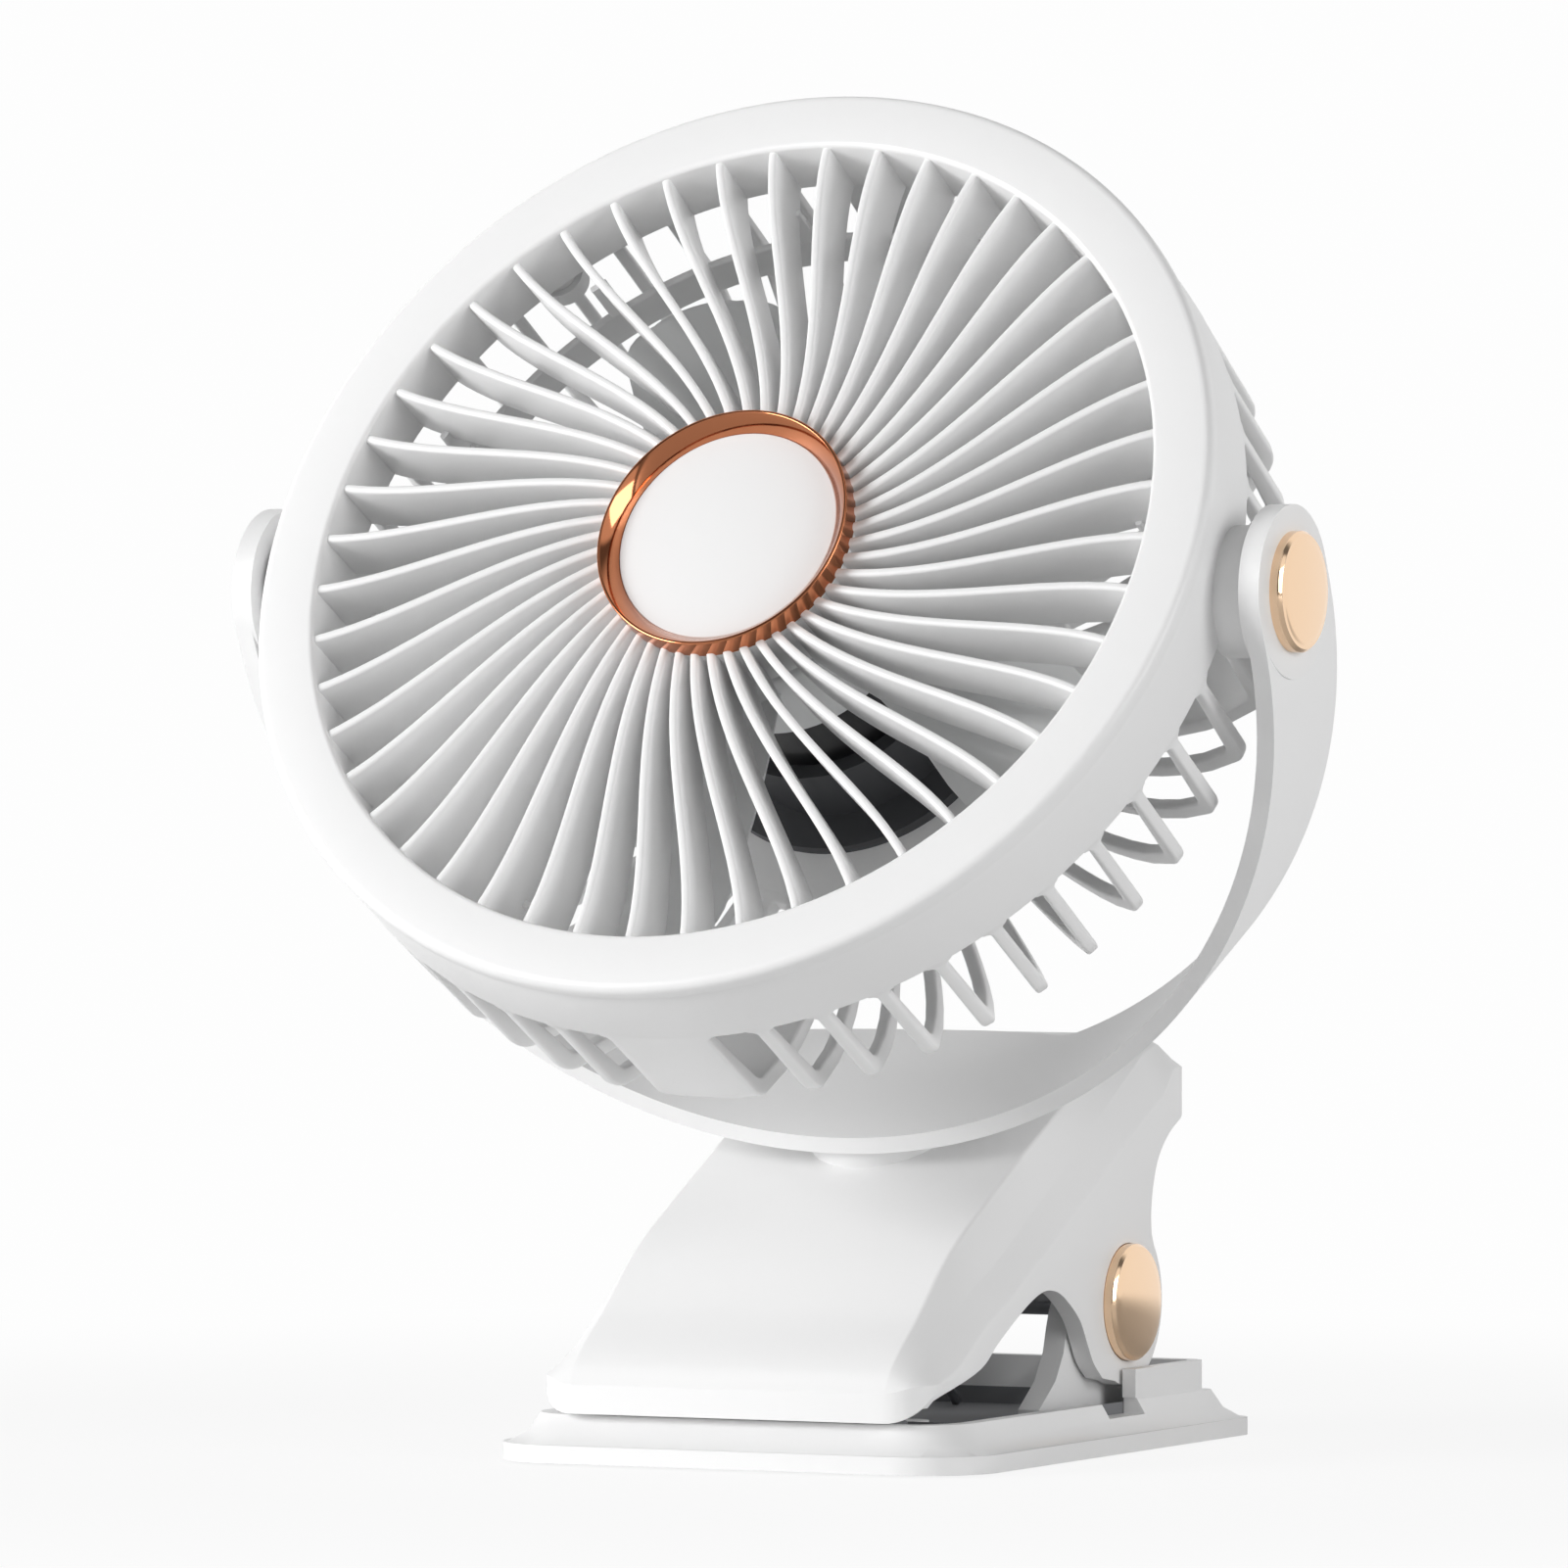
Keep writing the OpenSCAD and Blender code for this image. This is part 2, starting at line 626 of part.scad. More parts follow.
module clamp_shell() color("white") difference() {
    intersection() {
        union() {
            difference() {
                jaw_form(0);
                intersection() {
                    jaw_form(jaw_wall);
                    side_prism(cavity_side(), -cavity_half_w, cavity_half_w);
                }
                side_prism(below_cover(), -cavity_half_w, cavity_half_w);
            }
            jaw_posts(jaw_post_r, cover_t - jaw_depth, -1);
        }
        side_prism(jaw_side(), -jaw_half_w - 1, jaw_half_w + 1);
        jaw_form(0);
    }
    lip_rounding();
    jaw_posts(screw_r, -jaw_depth, -6.5);
    hinge_frame() x_rod(-pin_end - 0.1, hinge_pin_r + fit, 2 * pin_end + 0.2);
    hinge_frame() for (s = [-1, 1])
        x_rod(s > 0 ? jaw_half_w - cap_seat : -jaw_half_w - 1, hinge_cap_r + fit, cap_seat + 1);
    deck_frame() translate([0, 0, -jaw_wall - 1]) cylinder(r = stem_r + fit, h = jaw_wall + 3);
    translate([0, back_inner_y - 4, button_z]) rotate([-90, 0, 0]) cylinder(r = button_r + 2 * fit, h = 12);
    socket_frame() translate([0, 0, 5]) linear_extrude(8) rounded_plan(4.9, -1.9, 1.9, 1.6, 1.6);
    translate([-lens_x, back_inner_y - 1, button_z]) rotate([-90, 0, 0]) cylinder(r = lens_r, h = 8);
}

module clamp_underside() color("white") difference() {
    union() {
        side_prism(cover_side(), -cavity_half_w + 0.1, cavity_half_w - 0.1);
        for (s = [-1, 1])
            translate([s * board_rib_x - 2, switch_y - switch_tip - board_l, cover_level_z + cover_t - eps])
                cube([4, board_l, board_z - cover_level_z - cover_t + eps]);
    }
    jaw_posts(screw_r + fit, -jaw_depth - 1, 1);
    jaw_posts(screw_head_r + fit, -jaw_depth - 1, screw_head_h - jaw_depth);
}

module underside_screws() color("silver") deck_frame() for (s = [-1, 1], y = jaw_post_y)
    translate([s * jaw_post_x, y, screw_head_h - jaw_depth]) screw(7);

module upper_grip_pad() color("dimgray") translate([0, 0, lip_z])
    linear_extrude(cover_lip_z - lip_z)
        rounded_plan(pad_half_w, lip_y + 3.5, slope_start - 0.3, lip_pad_corner_r, lip_pad_corner_r);

module battery_pack() color("steelblue") deck_frame()
    translate([-battery_w / 2, -11 - battery_l, cover_t - jaw_depth]) cube([battery_w, battery_l, battery_t]);

module circuit_board() color("seagreen")
    translate([-board_w / 2, switch_y - switch_tip - board_l, board_z]) cube([board_w, board_l, board_t]);

// The charging socket's axis, at its inner end
module socket_frame() translate([socket_x, back_inner_y - 6, board_top + socket_half_h]) rotate([-90, 0, 0])
    children();

module usb_socket() color("silver") socket_frame() difference() {
    linear_extrude(7.3) rounded_plan(4.5, -socket_half_h, socket_half_h, 1.3, 1.3);
    translate([0, 0, 1]) linear_extrude(8) rounded_plan(4.2, 0.3 - socket_half_h, socket_half_h - 0.3, 1, 1);
}

module power_switch() color("dimgray") {
    translate([-3, switch_y - switch_tip - 4, board_top]) cube([6, 4, 4]);
    translate([0, switch_y - switch_tip - eps, button_z]) rotate([-90, 0, 0])
        cylinder(r = 1.2, h = switch_tip + eps);
}

module status_lens() color("lightblue") translate([-lens_x, back_inner_y - 0.6, button_z])
    rotate([-90, 0, 0]) cylinder(r = lens_r, h = 3.4);

module power_button() color("lightgray") translate([0, back_inner_y, button_z]) rotate([-90, 0, 0]) {
    translate([0, 0, -flange_t]) cylinder(r = button_r + 0.7, h = flange_t - face_gap);
    translate([0, 0, -0.5]) cylinder(r = button_r, h = 4.4);
}

module hinge_cap_left() color("peru") mirror([1, 0, 0]) hinge_frame()
    metal_cap(jaw_half_w - cap_seat, hinge_cap_r);

module hinge_cap_right() color("peru") hinge_frame() metal_cap(jaw_half_w - cap_seat, hinge_cap_r);

// Spring: the coil, and two arms that leave it at a tangent towards the lever end
module clamp_spring() {
    upper_end = [upper_arm, cover_level_z - hinge_z - wire_r - 0.1];
    lower_end = [lower_arm, floor_z - hinge_z + wire_r + 0.1];
    upper_a = atan2(upper_end[1], upper_end[0]) + acos(coil_r / norm(upper_end));
    lower_a = atan2(lower_end[1], lower_end[0]) - acos(coil_r / norm(lower_end));
    sweep = 360 * coil_turns + 360 - (upper_a - lower_a);
    steps = 20 * (coil_turns + 1);
    span = 2.1 * wire_r * sweep / 360;
    path = concat([[-span / 2, lower_end[0], lower_end[1]]],
                  [for (i = [0 : steps]) let (a = lower_a - sweep * i / steps)
                      [span * (i / steps - 0.5), coil_r * cos(a), coil_r * sin(a)]],
                  [[span / 2, upper_end[0], upper_end[1]]]);
    color("silver") hinge_frame() tube(path, wire_r, 8);
}

// A closed round tube along a path that runs mostly across X
module tube(path, r, sides) {
    n = len(path);
    rings = [for (i = [0 : n - 1]) let (
        t0 = path[min(i + 1, n - 1)] - path[max(i - 1, 0)],
        t = t0 / norm(t0),
        u0 = [1, 0, 0] - t[0] * t,
        u = u0 / norm(u0),
        v = cross(t, u))
        for (k = [0 : sides - 1]) path[i] + r * (cos(360 * k / sides) * u + sin(360 * k / sides) * v)];
    sides_f = [for (i = [0 : n - 2], k = [0 : sides - 1]) let (k2 = (k + 1) % sides)
        [i * sides + k, (i + 1) * sides + k, (i + 1) * sides + k2, i * sides + k2]];
    first = [for (k = [0 : sides - 1]) k];
    last = [for (k = [sides - 1 : -1 : 0]) (n - 1) * sides + k];
    polyhedron(points = rings, faces = concat(sides_f, [first, last]), convexity = 10);
}

// Yoke

// The yoke's U, drawn in X and Z, at a distance inside its outer face
module yoke_u(inset) {
    r = yoke_r - inset;
    translate([0, -yoke_drop]) circle(r = r, $fn = 180);
    translate([-r, -yoke_drop]) square([2 * r, yoke_drop + yoke_end_r + 1]);
}

module yoke() color("white") yoke_frame() difference() {
    union() {
        intersection() {
            rotate([90, 0, 0]) linear_extrude(big, center = true) difference() {
                yoke_u(0);
                yoke_u(yoke_t);
                translate([-big / 2, yoke_end_r]) square([big, big]);
            }
            union() {
                x_rod(-big / 2, yoke_end_r, big);
                translate([-big / 2, -yoke_end_r, -big]) cube([big, 2 * yoke_end_r, big]);
                translate([0, belly_reach - belly_r, -big]) cylinder(r = belly_r, h = big - yoke_r / 2);
            }
            translate([-big / 2, -yoke_end_r, -big]) cube([big, big, big + yoke_end_r]);
        }
        for (s = [-1, 1]) x_rod(s > 0 ? yoke_in : -yoke_r, yoke_end_r, yoke_end_t);
    }
    for (s = [-1, 1]) {
        x_rod(s > 0 ? yoke_in - 1 : -yoke_r - 1, tilt_pin_r + fit, yoke_end_t + 2);
        x_rod(s > 0 ? cap_floor : -yoke_r - 1, tilt_cap_r + fit, cap_seat + 1);
        x_rod(s > 0 ? cap_floor - pin_well : -yoke_r - 1, tilt_head_r + 0.4, pin_well + cap_seat + 1);
    }
}

module swivel_post() color("white") difference() {
    deck_frame() {
        translate([0, 0, face_gap]) cylinder(r = disc_r, h = disc_h + 2);
        translate([0, 0, stem_end]) cylinder(r = stem_r, h = 4);
    }
    yoke_frame() rotate([90, 0, 0]) linear_extrude(big, center = true) yoke_u(0);
    deck_frame() translate([0, 0, stem_end - 1]) cylinder(r = post_hole_r, h = 6);
}

module swivel_washer() color("silver") deck_frame() translate([0, 0, stem_end - swivel_washer_t])
    linear_extrude(swivel_washer_t) ring_2d(swivel_washer_r, post_hole_r);

module swivel_screw() color("silver") deck_frame() translate([0, 0, stem_end - swivel_washer_t]) {
    cylinder(r = post_hole_r, h = 5.5);
    translate([0, 0, -2]) difference() {
        cylinder(r = 3, h = 2);
        translate([-0.4, -2, -eps]) cube([0.8, 4, 0.8]);
    }
}

module tilt_cap_left() color("peru") mirror([1, 0, 0]) yoke_frame() metal_cap(cap_floor, tilt_cap_r);

module tilt_cap_right() color("peru") yoke_frame() metal_cap(cap_floor, tilt_cap_r);

// Head

// Outline of one vane, a strip of even thickness along its centre line
module vane() {
    r0 = hub_ring_r - hub_wall;
    r1 = ring_in + 1;
    n = 7;
    radii = [for (i = [0 : n]) r0 + (r1 - r0) * i / n];
    function across(r) =
        let (d = vane_point(r + 0.2) - vane_point(r - 0.2)) [-d[1], d[0]] / norm(d) * vane_t / 2;
    polygon(concat([for (r = radii) vane_point(r) + across(r)],
                   [for (i = [n : -1 : 0]) vane_point(radii[i]) - across(radii[i])]));
}

module ring_2d(outer, inner) difference() {
    circle(r = outer);
    circle(r = inner);
}

module front_grille() color("white") head_frame() difference() {
    union() {
        translate([0, 0, ring_back]) linear_extrude(ring_t) ring_2d(ring_r, ring_in);
        translate([0, 0, vane_back]) linear_extrude(vane_depth) difference() {
            union() {
                for (i = [0 : vane_count - 1]) rotate(360 * i / vane_count) vane();
                ring_2d(ring_in + 1.5, ring_in);
            }
            circle(r = hub_ring_r - hub_wall / 2);
        }
        translate([0, 0, vane_back]) linear_extrude(seat_z - vane_back)
            ring_2d(hub_ring_r - 0.3, hub_ring_r - hub_wall);
        translate([0, 0, seat_z - hub_wall]) cylinder(r = hub_ring_r - 0.3, h = hub_wall);
        translate([0, 0, guide_back]) linear_extrude(guide_len) ring_2d(guide_r + guide_t, guide_r);
        for (i = [0 : guide_legs - 1]) rotate(360 * (i + 0.25) / guide_legs)
            translate([guide_r, -1.5, guide_back + guide_len - 1])
                cube([guide_t * 0.9, 3, vane_back - guide_back - guide_len + 3]);
        for (a = lug_angles) rotate(90 - a) translate([lug_place_r, 0, band_end + lug_t])
            cylinder(r = post_r, h = ring_back - band_end - lug_t + eps);
    }
    translate([0, 0, seat_z]) cylinder(r = hub_ring_r, h = hub_ring_w);
    for (a = lug_angles) rotate(90 - a) translate([lug_place_r, 0, band_end])
        cylinder(r = screw_r, h = lug_screw_len);
}

// The ring's face slopes in to the cap, and leaves a narrow rim
module hub_ring() color("peru") head_frame() let (inner = hub_ring_r - hub_ring_w) rotate_extrude($fn = 120)
    polygon([[inner, seat_z], [hub_ring_r, seat_z], [hub_ring_r, hub_front], [hub_ring_r - hub_rim_w, hub_front],
             [inner, hub_front - hub_cap_recess + 0.1]]);

module hub_cap() color("white") head_frame() translate([0, 0, seat_z])
    cylinder(r = hub_ring_r - hub_ring_w, h = hub_front - hub_cap_recess - seat_z);

// The rounded corner and the domed back that runs tangent from it to the plate, at a depth inside them
function back_curve(depth) = concat(
    arc(corner_c, corner_z, rib_corner_r - depth, 0, dome_start, 4),
    [for (i = [1 : dome_steps]) let (a = dome_start - (90 + dome_start) * i / dome_steps)
        [plate_r + (dome_r - depth) * cos(a), dome_z + (dome_r - depth) * sin(a)]]);

// Half section of the rear housing, as points of radius and Z
function housing_section() = let (inner = back_curve(back_wall), last = len(inner) - 1)
    concat([[wall_r, ring_back], [wall_r, band_end]], back_curve(0), [[0, plate_back], [0, plate_inner]],
           [for (i = [last : -1 : 0]) inner[i]],
           [[wall_r - band_wall, band_end + 1.5], [wall_r - band_wall, ring_back]]);

module rear_housing() color("white") head_frame() difference() {
    union() {
        rotate_extrude($fn = 160) polygon(housing_section());
        for (s = [-1, 1]) {
            x_rod(s > 0 ? wall_r - 2.5 : -boss_face, side_boss_r, boss_face - wall_r + 2.5);
            x_rod(s > 0 ? wall_r - 8.5 : -wall_r + 1, 6, 7.5);
        }
        for (a = lug_angles) rotate(90 - a) translate([lug_place_r, 0, band_end])
            cylinder(r = lug_r, h = lug_t);
    }
    for (q = [0 : 3], i = [0 : slot_count - 1])
        rotate(45 - 90 * q - (i - (slot_count - 1) / 2) * slot_pitch) slot_cutter();
    for (s = [-1, 1]) x_rod(s > 0 ? pin_root : -big, tilt_pin_r, big - pin_root);
    for (a = lug_angles) rotate(90 - a) translate([lug_place_r, 0, band_end - 1])
        cylinder(r = screw_r + fit, h = lug_t + 2);
    for (a = bracket_angles) rotate(a) translate([bracket_screw_r, 0, plate_back - 1])
        cylinder(r = screw_r, h = back_wall + 2);
}

// The space between two bars
module slot_cutter() {
    half = slot_pitch / 2;
    edge = rib_w / 2 / cos(half);
    r0 = plate_r + 1.5;
    r1 = ring_r + 8;
    translate([0, 0, band_end - big]) linear_extrude(big)
        polygon([[r0, edge - r0 * tan(half)], [r1, edge - r1 * tan(half)],
                 [r1, r1 * tan(half) - edge], [r0, r0 * tan(half) - edge]]);
}

module housing_screws() color("silver") head_frame() for (a = lug_angles)
    rotate(90 - a) translate([lug_place_r, 0, band_end]) screw(lug_screw_len);

module motor() color("dimgray") head_frame() difference() {
    translate([0, 0, motor_back]) cylinder(r = motor_r, h = motor_len);
    translate([0, 0, motor_back + 2]) cylinder(r = shaft_r + fit, h = motor_len);
}

module motor_bracket() color("gray") head_frame() difference() {
    union() {
        translate([0, 0, plate_inner]) cylinder(r = bracket_r, h = 2);
        translate([0, 0, plate_inner]) cylinder(r = motor_r + 2.4, h = motor_back - plate_inner + 6);
    }
    translate([0, 0, motor_back]) cylinder(r = motor_r, h = 10);
    for (a = bracket_angles) rotate(a) translate([bracket_screw_r, 0, plate_inner - 1])
        cylinder(r = screw_r, h = 2.2);
}

module motor_screws() color("silver") head_frame() for (a = bracket_angles)
    rotate(a) translate([bracket_screw_r, 0, plate_back]) screw(back_wall + 1);

// A tilt pin whose head lies in the yoke's end
module tilt_pin() {
    x_rod(pin_root, tilt_pin_r, cap_floor - pin_well + 0.2 - pin_root);
    x_rod(cap_floor - pin_well + 0.15, tilt_head_r, pin_head_h);
}

module trunnion_left() color("silver") mirror([1, 0, 0]) pivot_frame() tilt_pin();

module trunnion_right() color("silver") pivot_frame() tilt_pin();

module friction_washers() color("dimgray") pivot_frame() for (s = [-1, 1]) difference() {
    x_rod(s > 0 ? boss_face : -boss_face - washer_t, friction_washer_r, washer_t);
    x_rod(-big / 2, tilt_pin_r, big);
}

// Impeller

// Outline of a blade, seen along its own thickness, reaching out along X
module blade_2d() intersection() {
    high = blade_w / 2 - blade_sweep;
    low = -blade_w / 2 - blade_sweep;
    corner = 8;
    root = impeller_hub_r - 1.4;
    wide = blade_tip_r - corner - 0.6;
    circle(r = blade_tip_r);
    union() {
        polygon([[root, -corner], [root, corner], [wide - 7, high - 1], [wide, high], [wide, low],
                 [wide - 7, low + 2]]);
        translate([wide - 0.1, low + corner]) square([blade_tip_r - wide + 0.1, blade_w - 2 * corner]);
        for (y = [low + corner, high - corner]) translate([wide, y]) circle(r = corner);
    }
}

module impeller() color("white") head_frame() difference() {
    union() {
        translate([0, 0, hub_end]) cylinder(r = impeller_hub_r, h = impeller_hub_len);
        for (i = [0 : blade_count - 1]) rotate(360 * i / blade_count + blade_turn) translate([0, 0, blade_z])
            rotate([blade_pitch, 0, 0]) translate([0, 0, -blade_t / 2]) linear_extrude(blade_t) blade_2d();
    }
    difference() {
        translate([0, 0, hub_end - 1]) cylinder(r = impeller_hub_r - 1.6, h = impeller_hub_len - 1);
        translate([0, 0, hub_end + 2]) cylinder(r = shaft_boss_r, h = impeller_hub_len);
    }
    translate([0, 0, hub_end - 2]) cylinder(r = shaft_r, h = impeller_hub_len + 0.5);
}

module motor_shaft() color("silver") head_frame() translate([0, 0, motor_back + 2.5])
    cylinder(r = shaft_r, h = hub_top - 1.5 - motor_back - 2.5);

base_plate();
bottom_cover();
bottom_screws();
foot_pad();
lower_grip_pad();
hinge_pin();
clamp_shell();
clamp_underside();
underside_screws();
upper_grip_pad();
battery_pack();
circuit_board();
usb_socket();
power_switch();
status_lens();
hinge_cap_left();
hinge_cap_right();
clamp_spring();
power_button();
yoke();
swivel_post();
swivel_washer();
swivel_screw();
tilt_cap_left();
tilt_cap_right();
front_grille();
hub_ring();
hub_cap();
rear_housing();
housing_screws();
motor();
motor_bracket();
motor_screws();
trunnion_left();
trunnion_right();
friction_washers();
impeller();
motor_shaft();
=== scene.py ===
import json
import math

import bmesh
import bpy
from mathutils import Matrix, Vector


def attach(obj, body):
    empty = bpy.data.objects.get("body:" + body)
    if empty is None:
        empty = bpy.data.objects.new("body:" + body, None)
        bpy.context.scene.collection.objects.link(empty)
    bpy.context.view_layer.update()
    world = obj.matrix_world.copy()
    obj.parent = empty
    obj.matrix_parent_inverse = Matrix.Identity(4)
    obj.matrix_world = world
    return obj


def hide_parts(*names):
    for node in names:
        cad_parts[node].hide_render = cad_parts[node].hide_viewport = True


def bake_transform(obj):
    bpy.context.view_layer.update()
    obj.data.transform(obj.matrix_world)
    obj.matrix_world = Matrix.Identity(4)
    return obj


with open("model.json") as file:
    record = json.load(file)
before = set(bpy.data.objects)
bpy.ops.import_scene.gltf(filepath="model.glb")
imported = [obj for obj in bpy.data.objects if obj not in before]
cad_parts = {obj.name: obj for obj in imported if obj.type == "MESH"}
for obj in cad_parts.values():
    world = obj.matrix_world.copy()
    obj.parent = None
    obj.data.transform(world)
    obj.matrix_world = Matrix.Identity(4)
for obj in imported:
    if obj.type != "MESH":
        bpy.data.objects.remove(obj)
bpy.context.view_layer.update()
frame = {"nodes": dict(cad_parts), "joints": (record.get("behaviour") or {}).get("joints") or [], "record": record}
scene = bpy.context.scene
joints = {joint["name"]: joint for joint in frame["joints"]}
print("frame loaded:", len(frame["nodes"]), "nodes")


# Frames. Lengths below are millimetres, and become metres when a mesh is made.

def placeAlong(axis, origin):
    z = Vector(axis).normalized()
    x = Vector((1, 0, 0))
    place = Matrix((x, z.cross(x), z)).transposed().to_4x4()
    place.translation = origin
    return place


def towardsSide(side):
    # turns z onto the right (1) or the left (-1)
    return Matrix.Rotation(math.radians(90 * side), 4, "Y")


pivot = Vector(joints["head_tilt"]["pos_m"]) * 1000
hinge = Vector(joints["clip_opening"]["pos_m"]) * 1000
headPlace = placeAlong(joints["impeller_spin"]["axis"], pivot)   # z runs out of the fan's face
yokePlace = placeAlong(joints["yoke_swivel"]["axis"], pivot)     # z runs up the yoke
swivelReach = 98.5                                               # from the tilt axis down to the deck
deckPlace = yokePlace @ Matrix.Translation((0, 0, -swivelReach))


# Camera

camera = {"azimuth": 25.95, "elevation": 0.77, "distance": 1.74094,
          "target": (0.06669, -0.17018, 0.1114), "lens": 269.83}


def addCamera():
    azimuth, elevation = math.radians(camera["azimuth"]), math.radians(camera["elevation"])
    back = Vector((math.sin(azimuth) * math.cos(elevation), -math.cos(azimuth) * math.cos(elevation),
                   math.sin(elevation)))
    data = bpy.data.cameras.new("camera")
    data.lens, data.sensor_width, data.clip_end = camera["lens"], 36, 20
    view = bpy.data.objects.new("camera", data)
    scene.collection.objects.link(view)
    view.location = Vector(camera["target"]) + back * camera["distance"]
    view.rotation_euler = back.to_track_quat("Z", "Y").to_euler()
    scene.camera = view


addCamera()


# Materials

def srgb(code):
    channels = [int(code[i:i + 2], 16) / 255 for i in (1, 3, 5)]
    return tuple(c / 12.92 if c <= 0.04045 else ((c + 0.055) / 1.055) ** 2.4 for c in channels) + (1,)


def addNode(tree, kind, settings=None, links=None):
    node = tree.nodes.new(kind)
    for name, value in (settings or {}).items():
        setattr(node, name, value)
    for name, source in (links or {}).items():
        if isinstance(source, bpy.types.NodeSocket):
            tree.links.new(source, node.inputs[name])
        else:
            node.inputs[name].default_value = source
    return node


def makeMaterial(name, colour, surface, grain, bump, colourSpread=0.0, roughSpread=0.0, stretch=(1, 1, 1)):
    # grain is the size of the surface's texture in mm, and bump the depth given to it in mm
    material = bpy.data.materials.new(name)
    material.use_nodes = True
    tree = material.node_tree
    shader = tree.nodes["Principled BSDF"]
    for socket, value in surface.items():
        shader.inputs[socket].default_value = value
    place = addNode(tree, "ShaderNodeTexCoord")
    turn = addNode(tree, "ShaderNodeMapping", None, {"Vector": place.outputs["Object"], "Scale": stretch})
    noise = addNode(tree, "ShaderNodeTexNoise", None,
                    {"Vector": turn.outputs[0], "Scale": 1000 / grain, "Detail": 2.0, "Roughness": 0.5})
    if bump > 0:
        relief = addNode(tree, "ShaderNodeBump", None,
                         {"Height": noise.outputs[0], "Strength": 1.0, "Distance": bump / 1000})
        tree.links.new(relief.outputs[0], shader.inputs["Normal"])
    base = srgb(colour)
    if colourSpread > 0:
        dark = tuple(c * (1 - colourSpread) for c in base[:3]) + (1,)
        mix = addNode(tree, "ShaderNodeMix", {"data_type": "RGBA"}, {0: noise.outputs[0], 6: dark, 7: base})
        tree.links.new(mix.outputs[2], shader.inputs["Base Color"])
    else:
        shader.inputs["Base Color"].default_value = base
    if roughSpread > 0:
        level = surface["Roughness"]
        rough = addNode(tree, "ShaderNodeMapRange", None, {
            "Value": noise.outputs[0], "To Min": level - roughSpread, "To Max": level + roughSpread})
        tree.links.new(rough.outputs[0], shader.inputs["Roughness"])
    return material


whiteAbs = makeMaterial("whiteAbsMoulded", "#F1F1F1", {"Roughness": 0.34, "IOR": 1.53},
                        grain=0.5, bump=0.0006, roughSpread=0.03)       # satin, with the mould's fine grain
bladeAbs = makeMaterial("bladeAbsMoulded", "#ECEDED", {"Roughness": 0.42, "IOR": 1.53},
                        grain=0.5, bump=0.0006)                         # a little flatter than the housing
greyAbs = makeMaterial("greyAbsMoulded", "#46474A", {"Roughness": 0.45, "IOR": 1.53},
                       grain=0.4, bump=0.001)                           # dark grey with a low sheen
blackNylon = makeMaterial("blackNylonMoulded", "#232325", {"Roughness": 0.5, "IOR": 1.53},
                          grain=0.3, bump=0.001)                        # a duller black than enamel
blackEnamel = makeMaterial("blackEnamelSprayed", "#141416",
                           {"Roughness": 0.28, "IOR": 1.5, "Coat Weight": 0.3},
                           grain=1.2, bump=0.002)                       # faint orange peel
roseGold = makeMaterial("roseGoldPlated", "#F5D4B2", {"Metallic": 1.0, "Roughness": 0.1},
                        grain=2.5, bump=0.0008, roughSpread=0.02)       # a pale mirror, slightly soft
roseGoldPaintedDarkReflection = makeMaterial("roseGoldPlatedPaintedDarkReflection", "#C27C58", {"Metallic": 1.0, "Roughness": 0.08},
                           grain=2.5, bump=0.0008, roughSpread=0.02)    # the hub ring's: a darker, redder copy of the same rose gold, a painted dark reflection
greySilicone = makeMaterial("greySiliconeMoulded", "#7C7D80", {"Roughness": 0.72, "IOR": 1.41},
                            grain=0.35, bump=0.004)                     # soft, nearly matt
zincSteel = makeMaterial("zincPlatedSteel", "#B9BBBE", {"Metallic": 1.0, "Roughness": 0.32},
                         grain=0.4, bump=0.001)                         # grey-white, softly bright
turnedSteel = makeMaterial("turnedSteel", "#C6C7C9", {"Metallic": 1.0, "Roughness": 0.24},
                           grain=0.3, bump=0.001, stretch=(4, 1, 1))    # fine rings from the lathe
springWire = makeMaterial("drawnSpringWire", "#9EA0A3", {"Metallic": 1.0, "Roughness": 0.35},
                          grain=0.3, bump=0.001)                        # darker, with a drawn wire's satin
stampedSteel = makeMaterial("stampedNickelSteel", "#C9CACB", {"Metallic": 1.0, "Roughness": 0.28},
                            grain=0.5, bump=0.001)                      # bright, its mirror a little blurred
cellFilm = makeMaterial("cellFoilFilm", "#5B7DB0", {"Roughness": 0.35, "IOR": 1.5},
                        grain=6, bump=0.05)                             # shrunk film, in shallow waves
boardMask = makeMaterial("boardSolderMask", "#1F6B3F", {"Roughness": 0.3, "IOR": 1.5},
                         grain=0.6, bump=0.003, colourSpread=0.2)       # shiny green, mottled by its tracks
clearAcrylic = makeMaterial("clearAcrylicMoulded", "#EAF2F5",
                            {"Roughness": 0.08, "IOR": 1.49, "Transmission Weight": 0.85},
                            grain=1, bump=0.0)                          # clear and glossy

finishes = {"white_plastic": whiteAbs, "blade_plastic": bladeAbs, "grey_plastic": greyAbs,
            "black_plastic": blackNylon, "motor_black": blackEnamel, "rose_gold": roseGold,
            "grey_rubber": greySilicone, "screw_steel": zincSteel, "pin_steel": turnedSteel,
            "spring_steel": springWire, "socket_steel": stampedSteel, "battery_wrap": cellFilm,
            "board_green": boardMask, "clear_lens": clearAcrylic}
print("materials made:", len(finishes))


# Mesh makers

def linkObject(name, mesh):
    piece = bpy.data.objects.new(name, mesh)
    scene.collection.objects.link(piece)
    return piece


def evaluatedMesh(source):
    depsgraph = bpy.context.evaluated_depsgraph_get()
    return bpy.data.meshes.new_from_object(source.evaluated_get(depsgraph), depsgraph=depsgraph)


